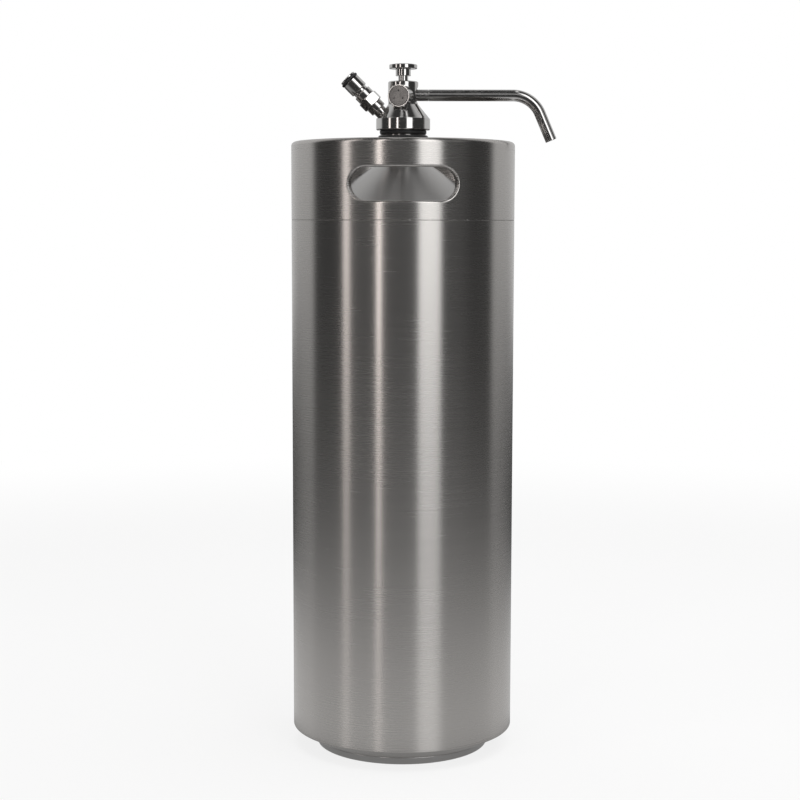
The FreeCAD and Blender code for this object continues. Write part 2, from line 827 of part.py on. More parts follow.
collar_start = size.gas_seat + size.adapter_neck_length
post_start = collar_start + size.adapter_collar_length
thread_end = post_start + size.post_thread_length
land_start = post_start + size.hexagon_length
groove_start = land_start + size.land_length
barrel_start = groove_start + size.lock_slope * 2 + size.lock_length
ring_start = barrel_start + size.post_length
lip_start = ring_start + size.ring_groove_length
post_end = lip_start + size.post_lip_length
post_seat = post_end - size.post_mouth_length
poppet_seal_end = post_seat - size.seal_gap
poppet_seal_start = poppet_seal_end - size.poppet_seal_thickness
poppet_disc_start = poppet_seal_start - size.poppet_disc_thickness


def gas_adapter():
    chamfer = size.edge_chamfer
    well = thread_end - size.spring_well_depth
    return placed(turned("gas_adapter", [
        (size.gas_hole_radius, size.gas_seat - size.adapter_thread_length),
        (size.adapter_thread_radius, size.gas_seat - size.adapter_thread_length),
        (size.adapter_thread_radius, size.gas_seat),
        (size.adapter_neck_radius, size.gas_seat),
        (size.adapter_neck_radius, collar_start),
        (size.adapter_collar_radius - chamfer, collar_start),
        (size.adapter_collar_radius, collar_start + chamfer),
        (size.adapter_collar_radius, post_start),
        (size.post_thread_radius, post_start),
        (size.post_thread_radius, thread_end),
        (size.spring_well_radius, thread_end),
        (size.spring_well_radius, well),
        (size.gas_hole_radius, well),
    ]), GAS_FRAME)


def gas_post():
    outside = turned("post_outside", [
        (0, post_start),
        (size.land_radius, post_start),
        (size.land_radius, groove_start),
        (size.lock_radius, groove_start + size.lock_slope),
        (size.lock_radius, groove_start + size.lock_slope + size.lock_length),
        (size.post_radius, barrel_start),
        (size.post_radius, ring_start),
        (size.ring_groove_radius, ring_start),
        (size.ring_groove_radius, lip_start),
        (size.post_lip_radius, lip_start),
        (size.post_lip_radius - size.edge_chamfer, post_end),
        (0, post_end),
    ])
    bore = turned("post_bore", [
        (0, post_start - size.edge_chamfer),
        (size.post_thread_radius + size.sleeve_clearance, post_start - size.edge_chamfer),
        (size.post_thread_radius + size.sleeve_clearance, thread_end),
        (size.post_cavity_radius, thread_end),
        (size.post_cavity_radius, post_seat),
        (size.post_mouth_radius, post_seat),
        (size.post_mouth_radius, post_end + size.edge_chamfer),
        (0, post_end + size.edge_chamfer),
    ])
    prism = hexagon("post_hexagon", size.hexagon_width, size.hexagon_length)
    placed(prism, GAS_FRAME, post_start, turn=size.hexagon_turn)
    placed(outside, GAS_FRAME)
    placed(bore, GAS_FRAME)
    return cut("gas_post", joined("post_solid", outside, prism), bore)


def post_o_ring():
    """The sealing ring in its groove, with a six-sided section."""
    section = size.ring_section
    middle = size.ring_groove_radius + size.sleeve_clearance + section
    height = ring_start + size.ring_groove_length / 2
    return placed(turned("post_o_ring", eased(middle, height, section, 30, 330, 5)), GAS_FRAME)


def gas_poppet():
    guide_start = poppet_disc_start - size.poppet_guide_length
    pin_end = post_end - size.poppet_pin_recess
    return placed(turned("gas_poppet", [
        (0, guide_start),
        (size.poppet_guide_radius, guide_start),
        (size.poppet_guide_radius, poppet_disc_start),
        (size.poppet_disc_radius, poppet_disc_start),
        (size.poppet_disc_radius, poppet_seal_start),
        (size.poppet_pin_radius, poppet_seal_start),
        (size.poppet_pin_radius, pin_end),
        (0, pin_end),
    ]), GAS_FRAME)


def poppet_seal():
    hole = size.poppet_pin_radius + size.sleeve_clearance
    return placed(turned("poppet_seal", [
        (hole, poppet_seal_start),
        (size.poppet_disc_radius, poppet_seal_start),
        (size.poppet_disc_radius, poppet_seal_end),
        (hole, poppet_seal_end),
    ]), GAS_FRAME)


def poppet_spring():
    low = thread_end - size.spring_well_depth
    return placed(
        spring("poppet_spring", size.poppet_spring_radius, size.poppet_spring_wire, low, poppet_disc_start),
        GAS_FRAME,
    )


# Relief valve in its boss

relief_seal_start = size.relief_seat + size.seal_gap
relief_disc_start = relief_seal_start + size.relief_seal_thickness
relief_disc_end = relief_disc_start + size.relief_poppet_thickness
relief_cap_seat = size.relief_face - size.relief_cap_length


def relief_cap():
    outside = size.relief_cap_radius - size.sleeve_clearance
    disc = turned("relief_cap_disc", [
        (0, relief_cap_seat),
        (outside, relief_cap_seat),
        (outside, size.relief_face),
        (0, size.relief_face),
    ])
    vents = []
    for turn in (90, 210, 330):
        vent = cylinder(f"relief_vent_{turn}", size.relief_vent_radius, size.relief_cap_length * 2)
        start = relief_cap_seat - size.relief_cap_length / 4
        vents.append(placed(vent, RELIEF_FRAME, start, size.relief_vent_offset, turn))
    return cut("relief_cap", placed(disc, RELIEF_FRAME), *vents)


def relief_poppet():
    pin_end = relief_disc_end + size.relief_pin_length
    return placed(turned("relief_poppet", [
        (0, relief_disc_start),
        (size.relief_poppet_radius, relief_disc_start),
        (size.relief_poppet_radius, relief_disc_end),
        (size.relief_pin_radius, relief_disc_end),
        (size.relief_pin_radius, pin_end),
        (0, pin_end),
    ]), RELIEF_FRAME)


def relief_seal():
    return placed(turned("relief_seal", [
        (0, relief_seal_start),
        (size.relief_seal_radius, relief_seal_start),
        (size.relief_seal_radius, relief_disc_start),
        (0, relief_disc_start),
    ]), RELIEF_FRAME)


def relief_spring():
    return placed(
        spring(
            "relief_spring", size.relief_spring_radius, size.relief_spring_wire,
            relief_disc_end, relief_cap_seat,
        ),
        RELIEF_FRAME,
    )


# Spout: fixed stub, swivelling spigot with its rings, and the bent tube

stub_end = size.spout_seat + size.stub_length
tube_start = stub_end + size.swivel_gap
socket_end = stub_end - size.stub_socket_length
spigot_radius = size.stub_socket_radius - size.running_clearance * 2
spigot_start = socket_end + size.seal_gap * 3


def spout_stub():
    start = size.spout_seat - size.stub_thread_length
    thread = size.stub_thread_radius - size.sleeve_clearance
    return placed(turned("spout_stub", [
        (size.stub_bore_radius, start),
        (thread, start),
        (thread, size.spout_seat),
        (size.spout_radius, size.spout_seat),
        (size.spout_radius, stub_end),
        (size.stub_socket_radius, stub_end),
        (size.stub_socket_radius, socket_end),
        (size.stub_bore_radius, socket_end),
    ]), SPOUT_FRAME)


def spout_spigot():
    inside_tube = size.spout_bore_radius - size.sleeve_clearance
    end = tube_start + size.spigot_reach
    return placed(turned("spout_spigot", [
        (size.spigot_bore_radius, spigot_start),
        (spigot_radius, spigot_start),
        (spigot_radius, tube_start),
        (inside_tube, tube_start),
        (inside_tube, end),
        (size.spigot_bore_radius, end),
    ]), SPOUT_FRAME)


def spout_tube():
    """The bent tube: straight, turned down, and a short straight end."""
    body = new_body("spout_tube")
    bend_up = spout_height - size.spout_bend_radius
    bend_end = (
        size.spout_bend_start + size.spout_bend_radius * sine_of(size.spout_turn),
        bend_up + size.spout_bend_radius * cosine_of(size.spout_turn),
    )
    tip = (
        bend_end[0] + size.spout_end_length * cosine_of(size.spout_turn),
        bend_end[1] - size.spout_end_length * sine_of(size.spout_turn),
    )
    path = outline(body, "spout_path", [
        (tube_start, spout_height),
        (size.spout_bend_start, spout_height),
        (*bend_end, size.spout_bend_start, bend_up),
        tip,
    ], closed=False)
    section = body.newObject("Sketcher::SketchObject", "spout_section")
    section.AttachmentSupport = (origin_plane(body, "YZ_Plane"), [""])
    section.MapMode = "FlatFace"
    bind(section, **{"AttachmentOffset.Base.z": tube_start})
    centre = FreeCAD.Vector(0, spout_height.value, 0)
    for radius in (size.spout_radius, size.spout_bore_radius):
        circle = section.addGeometry(Part.Circle(centre, FreeCAD.Vector(0, 0, 1), radius.value), False)
        section.addConstraint(Sketcher.Constraint("PointOnObject", circle, 3, -2))
        up = section.addConstraint(
            Sketcher.Constraint("DistanceY", -1, 1, circle, 3, spout_height.value)
        )
        across = section.addConstraint(Sketcher.Constraint("Radius", circle, radius.value))
        section.setExpression(f"Constraints[{up}]", spout_height.text)
        section.setExpression(f"Constraints[{across}]", radius.text)
    pipe = body.newObject("PartDesign::AdditivePipe", "spout_pipe")
    pipe.Profile = section
    pipe.Spine = (path, ["Edge1", "Edge2", "Edge3"])
    body.Tip = pipe
    return body


PIECES = (
    keg_shell, keg_bottom, foot_ring, keg_shoulder, keg_neck, handle_collar,
    neck_gasket,
    tap_body, dip_tube_nut, dip_tube, valve_gland,
    press_knob, valve_stem, valve_seal, valve_spring,
    gas_adapter, gas_post, post_o_ring, gas_poppet, poppet_seal, poppet_spring,
    relief_cap, relief_poppet, relief_seal, relief_spring,
    spout_stub, spout_spigot, spout_tube,
)

for piece in PIECES:
    keep(piece.__name__, piece())
document.recompute()


def check_and_write():
    """Stop at any failed object or shape, then write each node's solid."""
    for thing in document.Objects:
        if "Invalid" in thing.State or "Error" in thing.State:
            raise RuntimeError(f"{thing.Name} did not build: {thing.State}")
    os.makedirs("parts", exist_ok=True)
    for name, thing in nodes.items():
        shape = thing.Shape
        if shape.isNull() or not shape.isValid() or not shape.Solids:
            raise RuntimeError(f"{name} has no valid solid")
        shape.exportStep(f"parts/{name}.step")
        print(f"{name}: {len(shape.Solids)} solid(s), {shape.Volume:.1f} cubic mm")


check_and_write()
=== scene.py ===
"""Mini keg beer dispenser: the finished look of a brushed steel keg with a polished tap head."""

import json
import math

import bpy
from mathutils import Matrix, Vector


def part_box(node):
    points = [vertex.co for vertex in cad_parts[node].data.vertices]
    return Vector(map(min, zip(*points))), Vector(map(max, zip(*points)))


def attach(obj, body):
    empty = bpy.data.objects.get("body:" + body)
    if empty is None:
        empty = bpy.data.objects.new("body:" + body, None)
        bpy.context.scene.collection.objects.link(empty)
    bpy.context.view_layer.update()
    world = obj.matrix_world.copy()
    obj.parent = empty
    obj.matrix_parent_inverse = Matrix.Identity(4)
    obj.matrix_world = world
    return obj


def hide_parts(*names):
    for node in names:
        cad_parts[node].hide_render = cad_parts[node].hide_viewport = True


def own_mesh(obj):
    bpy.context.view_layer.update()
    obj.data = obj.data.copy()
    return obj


bl_info = {
    "name": "Mini keg beer dispenser",
    "version": (1, 0, 0),
    "blender": (4, 5, 0),
    "location": "3D View > Sidebar > Keg",
    "description": "Builds the skins, seals, tap head and finishes of a mini keg with a tap",
    "category": "Object",
}

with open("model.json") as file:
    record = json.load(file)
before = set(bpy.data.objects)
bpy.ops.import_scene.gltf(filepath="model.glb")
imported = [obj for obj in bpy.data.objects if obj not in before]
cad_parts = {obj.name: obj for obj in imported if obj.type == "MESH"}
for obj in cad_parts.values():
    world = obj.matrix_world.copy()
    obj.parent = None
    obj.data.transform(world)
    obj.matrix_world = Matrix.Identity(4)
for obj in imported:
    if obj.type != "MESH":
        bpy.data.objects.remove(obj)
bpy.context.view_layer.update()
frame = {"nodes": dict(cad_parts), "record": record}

MM = 0.001
FULL_TURN = 2 * math.pi
QUARTER_TURN = math.pi / 2
UP = Vector((0, 0, 1))
IN_PLACE = Matrix.Identity(4)

# How finely curves are drawn, and when two spots or two facings count as one
ARC_STEP = math.radians(9)
LONGEST_REACH = 0.49
SMALLEST_TURN = math.radians(1)
SAME_SPOT = 1e-7
SAME_FACING = 0.975

# The Mix node's colour sockets, by their place among all its sockets
MIX_FIRST = 6
MIX_SECOND = 7
MIX_RESULT = 2

# The springs' wire: sides, steps in a turn, and pitch in half thicknesses
WIRE_SIDES = 12
COIL_STEPS = 36
WIRE_SPACING = 4.4

# The screw threads: shares of the pitch, the turn over which they fade, and the slope of their facings
THREAD_ROOT = 0.42
THREAD_CREST = 0.10
THREAD_THINNEST = 0.05
THREAD_FADE = 3
THREAD_FLANK = math.radians(30)
THREAD_TILT = 0.3

# How far the threads stop from the ends of neck and plug, in pitches
NECK_RUNOUT = 0.7
PLUG_RUNOUT = 0.6

# The neck's weld bead below and above the shoulder's edge, in shares of its width
BEAD_BELOW = 0.85
BEAD_ABOVE = 0.6

# The two marks of the collar's weld, in millimetres to the right of the front
WELD_MARKS = (5, 50.5)

# The camera's sensor, in millimetres
SENSOR_WIDTH = 36

# The floor in reflections, a painted glow: where it is brightest, where its white is plain, and its painted
# contact shadow
MIRROR_NEAR = 0.25
SHADOW_FAR = 2
CONTACT_FAR = 1.35
PAINTED_SHADOW_SHARE = 0.5

# The soft lamp above, in metres
OVERHEAD_SIZE = (2.4, 1.8)
OVERHEAD_PLACE = (0.5, -0.3, 2.2)

# The room as metal sees it, in degrees: the middle, half width and soft edge of each lamp
KEY_WINDOW = (27.5, 9, 5)
FAR_STRIP = (-59.8, 2.6, 2.4)
NEAR_STRIP = (-24.4, 1.5, 1.5)
LAMP_HEIGHT = (5, 40, 15)
FRONT_HEIGHT = (24, 8, 4)
FRONT_SPREAD = (0, 60, 20)
CEILING_LINES = ((9.5, 1.2, 1.2), (-5.2, 0.5, 0.4), (-1.9, 0.4, 0.4))
CEILING_EDGE = (62, 75)
REAR_SIDES = (98, 110)
REAR_TOP = (76, 48)
FAR_STRIP_SHARE = 0.55
STRIP_GREEN = 0.93
STRIP_BLUE = 0.90


# Sizes and colours that a user would change

def length(millimetres, description):
    return bpy.props.FloatProperty(
        description=description, default=millimetres * MM, precision=5,
        subtype="DISTANCE", unit="LENGTH",
    )


def angle(degrees, description):
    return bpy.props.FloatProperty(
        description=description, default=math.radians(degrees), subtype="ANGLE")


def share(value, description):
    return bpy.props.FloatProperty(
        description=description, default=value, min=0, max=1, subtype="FACTOR")


def amount(value, description):
    return bpy.props.FloatProperty(description=description, default=value, min=0)


def count(value, description):
    return bpy.props.IntProperty(description=description, default=value, min=3)


def tint(colour, description):
    return bpy.props.FloatVectorProperty(
        description=description, default=colour, size=3, min=0, max=1, subtype="COLOR")


def labelled(group):
    """Name each setting of a group after its identifier, as the panel shows it."""
    for identifier, setting in group.__annotations__.items():
        setting.keywords["name"] = identifier.replace("_", " ").capitalize()
    return group


@labelled
class KegSizes(bpy.types.PropertyGroup):
    """Sizes of the keg below its handle collar."""

    segments: count(256, "Facets round the keg")
    corner: length(11, "Height of the corner between the wall and the bottom")
    slope_rise: length(9.2, "Height of the corner's slope")
    corner_round: length(3.4, "Round between the wall and the corner's slope")
    wall: length(1, "Sheet thickness")
    edge: length(0.12, "Softened sheet edges")
    panel_radius: length(70, "Raised middle of the bottom")
    panel_run: length(12, "Width of the slope round that middle")
    panel_rise: length(7.4, "Rise of that middle")
    panel_round: length(5, "Rounding where the slope meets the flats")
    foot_wall: length(2, "Thickness of the foot ring")
    foot_edge: length(0.48, "Softened edges of the foot ring")
    foot_taper: length(3.4, "How much narrower the foot ring is where it stands")
    seam_depth: length(0.22, "How far the weld seam lies below the wall")
    seam_width: length(0.9, "Width of the weld seam")
    weld_dot: length(0.75, "Radius of the two start and stop marks of the weld")
    dot_rise: length(0.264, "Height of those marks over the seam")
    shoulder_knee: length(6, "Rounding where the shoulder leaves the wall")
    neck_weld: length(1.6, "Bead between shoulder and neck")
    neck_bevel: length(1.3, "Bevel at the neck's top")
    neck_ring: length(2, "Height of the rubber ring under that bevel")


@labelled
class CollarSizes(bpy.types.PropertyGroup):
    """Sizes of the handle collar and its two handholds."""

    top_round: length(7, "Round between the wall and the top")
    lip_radius: length(80.5, "Inner edge of the top")
    lip_round: length(2.2, "Bend where the lip turns down")
    lip_turn: length(5, "How far the lip is turned down")
    wall: length(1, "Sheet thickness")
    hold_width: length(85.2, "Width of a handhold inside its bend")
    hold_height: length(26, "Height of a handhold inside its bend")
    hold_middle: length(470.7, "Height of the middle of a handhold")
    hold_bend: length(2, "Bend of the turned-in rim")
    hold_depth: length(3.8, "Depth of the turned-in rim, straight in from the wall")
    rows: count(40, "Rows of facets between a handhold and the edge of its half")


@labelled
class HeadSizes(bpy.types.PropertyGroup):
    """Sizes of the tap head's body, its knob and its stem."""

    segments: count(256, "Facets round the tap head")
    edge: length(0.25, "Softened edges")
    flange_chamfer: length(0.7, "Bevel of the flange")
    flange_radius: length(22.3, "Outside of the flange")
    flange_thickness: length(10, "Height of the flange")
    cone_height: length(11.1, "Flange to barrel")
    barrel_radius: length(12.4, "Outside of the barrel")
    barrel_foot: length(1.5, "Rounding where the barrel leaves the cone")
    barrel_edge: length(0.7, "Bevel at the top of the barrel")
    chamber_radius: length(7, "Opening in the plug")
    thread_pitch: length(2.5, "Pitch of the neck thread")
    thread_root: length(14.9, "Root of the plug's thread")
    thread_bevel: length(0.8, "Bevel at the plug's end")
    neck_thread: length(0.8, "Depth of the neck's thread")
    neck_play: share(0.1, "Play of the plug, as a share of the room from its thread to the neck's outside")
    thread_crest: length(15.9, "Crest of the plug's thread")
    gasket_room: length(0.6, "Room between thread and gasket")
    stem_radius: length(4.1, "Stem under the knob")
    hub_radius: length(6.2, "Hub under the knob's disc")
    hub_height: length(5.7, "Height of the hub")
    knob_radius: length(11.55, "Disc of the knob")
    knob_thickness: length(3.4, "Rim of the disc")
    knob_edge: length(0.6, "Rounding of that rim")
    knob_crown: length(1.1, "Rise of the disc's middle")
    gland_radius: length(7.95, "Outside of the gland")
    gland_play: length(0.05, "Room between gland and stem")
    gland_ledge: length(2, "Width of the gland's raised middle")
    gland_step: length(0.3, "Height of that middle")
    gland_bevel: length(0.4, "Bevel of that middle")
    gland_edge: length(0.12, "Softened edges of the gland")
    gland_depth: length(5, "Depth of the gland's socket")
    chamber_depth: length(6, "Depth of the opening in the plug")
    press_stroke: length(4, "How far the knob goes down")


@labelled
class GasSizes(bpy.types.PropertyGroup):
    """Sizes along the gas post's leaning axis, measured from where it leaves the keg's axis."""

    origin: length(513, "Height where the axis crosses the keg's axis")
    lean: angle(45, "Lean of the axis towards the left")
    seat: length(18.6, "Start of the adapter's neck")
    shank_depth: length(5, "How deep the adapter goes into the head")
    neck_radius: length(5.25, "Neck of the adapter")
    collar_start: length(28.4, "Start of the adapter's collar")
    collar_radius: length(7.05, "Collar of the adapter")
    post_start: length(34.3, "Start of the hexagon")
    hexagon_width: length(16, "Width across the flats")
    hexagon_turn: angle(-11, "Turn of the hexagon")
    hexagon_end: length(42.55, "End of the hexagon")
    land_radius: length(7.5, "Land over the hexagon")
    groove_start: length(48.05, "Start of the locking groove")
    groove_radius: length(6.2, "Bottom of the locking groove")
    groove_slope: length(0.5, "Slope of the groove's sides")
    barrel_start: length(51.25, "End of the locking groove")
    barrel_radius: length(7.55, "Barrel of the post")
    ring_start: length(61.15, "Start of the ring's groove")
    ring_groove: length(5.7, "Bottom of the ring's groove")
    lip_start: length(64.05, "End of the ring's groove")
    lip_radius: length(7.1, "Lip at the end")
    end: length(65.45, "End of the post")
    mouth_radius: length(3.1, "Hole in the end")
    poppet_stroke: length(2.5, "How far the poppet goes in")
    disc_depth: length(5, "How far the poppet's disc lies inside")
    pin_radius: length(1.5, "Pin of the poppet")
    pin_depth: length(1.0, "How far the pin ends inside")
    section: length(1.2, "Radius of the ring's section")
    edge: length(0.3, "Softened edges")


@labelled
class ReliefSizes(bpy.types.PropertyGroup):
    """Sizes of the round boss at the front and the relief valve in it."""

    height: length(543.6, "Height of the boss's axis")
    turn: angle(13, "Turn from the front towards the left")
    root: length(7.6, "Start of the boss inside the barrel")
    root_radius: length(10.35, "Radius of the boss where it leaves the barrel")
    radius: length(9, "Radius of the boss at its face")
    face: length(16.9, "Distance of the face from the keg's axis")
    bevel: length(0.55, "Bright round rim of the face")
    cap_radius: length(8.3, "Radius of the cap")
    cap_depth: length(3, "Thickness of the cap")
    edge: length(0.12, "Softened edges")
    cap_crown: length(0.08, "Rise of the cap's middle")
    lift: length(1, "How far the poppet lifts")
    vent_radius: length(0.7, "Radius of a vent")
    vent_offset: length(4.2, "Distance of a vent from the middle")


@labelled
class SpoutSizes(bpy.types.PropertyGroup):
    """Sizes of the stub and the bent tube."""

    height: length(545, "Height of the tube's axis")
    seat: length(10.5, "Spot face on the barrel")
    seat_radius: length(7.5, "Radius of that spot face")
    stub_radius: length(4.75, "Outside of the stub")
    stub_end: length(20.8, "End of the stub")
    stub_line: length(0.18, "Depth of the stub's fine turned lines")
    start: length(20.95, "Start of the tube")
    radius: length(4.75, "Outside of the tube")
    bore: length(3.75, "Inside of the tube")
    bend_start: length(90.7, "Where the bend starts")
    bend_radius: length(24.4, "Radius of the bend")
    bend_turn: angle(66.7, "Turn of the bend")
    end_length: length(24.1, "Straight end")
    edge: length(0.35, "Rounded end")


@labelled
class FinishSettings(bpy.types.PropertyGroup):
    """Colours and gloss of the metals and seals."""

    keg_colour: tint((0.61, 0.59, 0.57), "Brushed steel of the keg")
    keg_roughness: share(0.27, "Gloss of the brushed steel")
    keg_grain: share(0.9, "How one-sided the brushing is")
    shoulder_colour: tint((0.55, 0.54, 0.53), "Satin steel inside the collar")
    tap_colour: tint((0.66, 0.65, 0.64), "Polished steel of the tap head")
    tap_roughness: share(0.09, "Gloss of the tap head")
    spout_roughness: share(0.12, "Gloss of the spout")
    rubber_colour: tint((0.018, 0.018, 0.019), "Seals")
    weld_dark: tint((0.36, 0.35, 0.34), "Darkest steel of the welds")
    weld_light: tint((0.60, 0.59, 0.57), "Lightest steel of the welds")
    wire_colour: tint((0.60, 0.60, 0.60), "Wire of the springs")


@labelled
class StageSettings(bpy.types.PropertyGroup):
    """Camera, floor and light."""

    camera_side: length(-2.2, "Camera to the side of the keg's axis")
    camera_distance: length(1421.7, "Camera to the keg's axis")
    camera_height: length(441.4, "Height of the camera")
    camera_pitch: angle(6, "How far the camera looks down")
    camera_roll: angle(0.1, "Turn of the camera about its view")
    camera_lens: amount(76.455, "Focal length in millimetres")
    floor_size: amount(9, "Side of the floor in metres")
    floor_colour: tint((0.9, 0.9, 0.9), "Floor")
    floor_glow: share(0.82, "How much of the floor's white is its own")
    # Metal sees the floor as a glow: a painted reflection of the floor, with a painted contact shadow near
    # the keg
    painted_floor_reflection: share(0.53, "How bright metal shows the floor near the keg")
    mirror_reach: amount(1.1, "How far metal shows the floor bright, in metres")
    front_light: amount(0.3, "Brightness of the band above the camera")
    contact_reach: amount(0.112, "How far metal shows the floor's contact shadow, in metres")
    shadow_reach: amount(0.9, "Where the floor starts to turn plain white, in metres")
    room_dark: amount(0.045, "Light from the dark front of the room")
    rear_light: amount(0.55, "Light from the pale wall behind")
    key_light: amount(1.9, "Light of the wide window on the right")
    strip_light: amount(3.2, "Light of the narrow lamps on the left")
    overhead: amount(32, "Power of the soft lamp above in watts")


# Outlines and meshes

def rounded_path(corners, closed=False):
    """The spots of an outline of (radius, height), each with the way it faces.

    A corner is (radius, height) or (radius, height, rounding); the metal lies to the left."""
    total = len(corners)
    runs = total if closed else total - 1
    places = [Vector(corner[:2]) for corner in corners]
    ways = [(places[(i + 1) % total] - places[i]) for i in range(runs)]
    spots = []
    for i in range(total):
        last = ways[i - 1] if closed or i > 0 else None
        following = ways[i] if i < runs else None
        if last is None or following is None:
            way = (following or last).normalized()
            spots.append((*places[i], way.y, -way.x))
            continue
        before = last.normalized()
        after = following.normalized()
        turn = math.atan2(before.x * after.y - before.y * after.x, before.dot(after))
        rounding = corners[i][2] if len(corners[i]) > 2 else 0
        if rounding <= 0 or abs(turn) < SMALLEST_TURN:
            spots.append((*places[i], before.y, -before.x))
            spots.append((*places[i], after.y, -after.x))
            continue
        reach = rounding * math.tan(abs(turn) / 2)
        reach = min(reach, last.length * LONGEST_REACH, following.length * LONGEST_REACH)
        rounding = reach / math.tan(abs(turn) / 2)
        start = places[i] - before * reach
        side = Vector((-before.y, before.x)) * math.copysign(1, turn)
        centre = start + side * rounding
        steps = max(2, math.ceil(abs(turn) / ARC_STEP))
        for step in range(steps + 1):
            turned = turn * step / steps
            facing = Vector((before.y, -before.x))
            facing.rotate(Matrix.Rotation(turned, 2))
            spot = centre + facing * math.copysign(rounding, turn)
            spots.append((*spot, *facing))
    return spots


def softened(corners, edge):
    """The corners with a small rounding where none is given."""
    return [corner if len(corner) > 2 else (*corner, edge) for corner in corners]


def between(first, last, steps):
    """Values from first to last in equal steps, without first and with last."""
    return [first + (last - first) * step / steps for step in range(1, steps + 1)]


def crowned(radius, height, rise, first, steps, rounding):
    """Corners of a low dome, from a share of the way in to its middle."""
    corners = [
        (radius * (1 - part), height + rise * (1 - (1 - part) ** 2), rounding)
        for part in between(first, 1, steps)
    ]
    return [*corners[:-1], (0, height + rise)]


class Form:
    """A mesh in the making: points, the way that each one faces, and the faces between them."""

    def __init__(self):
        self.points = []
        self.facings = []
        self.faces = []

    def lathe(self, spots, place=IN_PLACE, segments=128, closed=False):
        """Turn an outline about the local Z axis; place is a matrix, or gives one for each height."""
        base = len(self.points)
        rows = len(spots)
        for step in range(segments):
            cosine = math.cos(FULL_TURN * step / segments)
            sine = math.sin(FULL_TURN * step / segments)
            for radius, height, facing_out, facing_up in spots:
                seat = place(height) if callable(place) else place @ Matrix.Translation((0, 0, height))
                self.points.append(seat @ Vector((radius * cosine, radius * sine, 0)))
                facing = Vector((facing_out * cosine, facing_out * sine, facing_up))
                self.facings.append(seat.to_3x3() @ facing)
        for row in range(rows if closed else rows - 1):
            following = (row + 1) % rows
            here, there = spots[row], spots[following]
            if abs(here[0] - there[0]) + abs(here[1] - there[1]) < SAME_SPOT:
                continue
            for step in range(segments):
                left = base + step * rows
                right = base + (step + 1) % segments * rows
                if here[0] < SAME_SPOT:
                    self.faces.append((left + row, right + following, left + following))
                elif there[0] < SAME_SPOT:
                    self.faces.append((left + row, right + row, left + following))
                else:
                    self.faces.append((left + row, right + row, right + following, left + following))
        return self

    def grid(self, columns, closed=False, flipped=False):
        """Join columns of (point, facing) pairs, each as long as the last."""
        base = len(self.points)
        rows = len(columns[0])
        for column in columns:
            for point, facing in column:
                self.points.append(point)
                self.facings.append(-facing if flipped else facing)
        for i in range(len(columns) if closed else len(columns) - 1):
            left = base + i * rows
            right = base + (i + 1) % len(columns) * rows
            for row in range(rows - 1):
                face = (left + row, right + row, right + row + 1, left + row + 1)
                self.faces.append(face[::-1] if flipped else face)
        return self

    def mesh(self, name):
        mesh = bpy.data.meshes.new(name)
        mesh.from_pydata([tuple(point) for point in self.points], [], self.faces)
        mesh.shade_smooth()
        mesh.normals_split_custom_set_from_vertices([facing.normalized() for facing in self.facings])
        return mesh

    def piece(self, name, body, material, slot, *nodes):
        """The finished piece, riding on its body in place of its nodes."""
        return settled(added(name, self.mesh(name)), body, material, slot, *nodes)


def lathed(labels, corners, edge=0, place=IN_PLACE, segments=128, closed=False):
    """A turned piece; labels are its name, body, finish, slot and the nodes that it replaces."""
    outline = rounded_path(softened(corners, edge), closed)
    return Form().lathe(outline, place, segments, closed).piece(*labels)


def cylinder(radius, low, high, place, segments=128):
    return Form().lathe(rounded_path([(0, low), (radius, low), (radius, high), (0, high)]), place, segments)


def added(name, data, place=IN_PLACE):
    """A new object in the scene."""
    thing = bpy.data.objects.new(name, data)
    thing.matrix_world = place
    bpy.context.scene.collection.objects.link(thing)
    return thing


def settled(piece, body, material, slot, *nodes):
    """Put a piece on its body, with its finish, in place of its nodes."""
    piece.data.materials.clear()
    piece.data.materials.append(material)
    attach(piece, body)
    if nodes:
        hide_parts(*nodes)
    return piece


def hexagon(form, place, width, low, high, turn, edge):
    """A hexagon with turned corners between two heights."""
    flat = width / 2
    face_radius = flat - edge / 2
    inner = face_radius / 2
    slope = 0.5
    steps = 16
    for side in range(6):
        middle = turn + side * FULL_TURN / 6
        outward = Vector((math.cos(middle), math.sin(middle), 0))
        parts = [[], [], [], [], []]
        for step in range(steps + 1):
            off = (step / steps - 0.5) * FULL_TURN / 6
            ray = Vector((math.cos(middle + off), math.sin(middle + off), 0))
            radius = flat / math.cos(off)
            drop = (radius - face_radius) * slope
            cone = (ray + UP / slope).normalized()
            under = Vector((cone.x, cone.y, -cone.z))
            spots = (
                (inner, low, -UP), (face_radius, low, -UP),
                (face_radius, low, under), (radius, low + drop, under),
                (radius, low + drop, outward), (radius, high - drop, outward),
                (radius, high - drop, cone), (face_radius, high, cone),
                (face_radius, high, UP), (inner, high, UP),
            )
            for index, part in enumerate(parts):
                part.append([
                    (place @ (ray * spot[0] + UP * spot[1]), place.to_3x3() @ spot[2])
                    for spot in spots[index * 2:index * 2 + 2]
                ])
        for part in parts:
            form.grid(part)


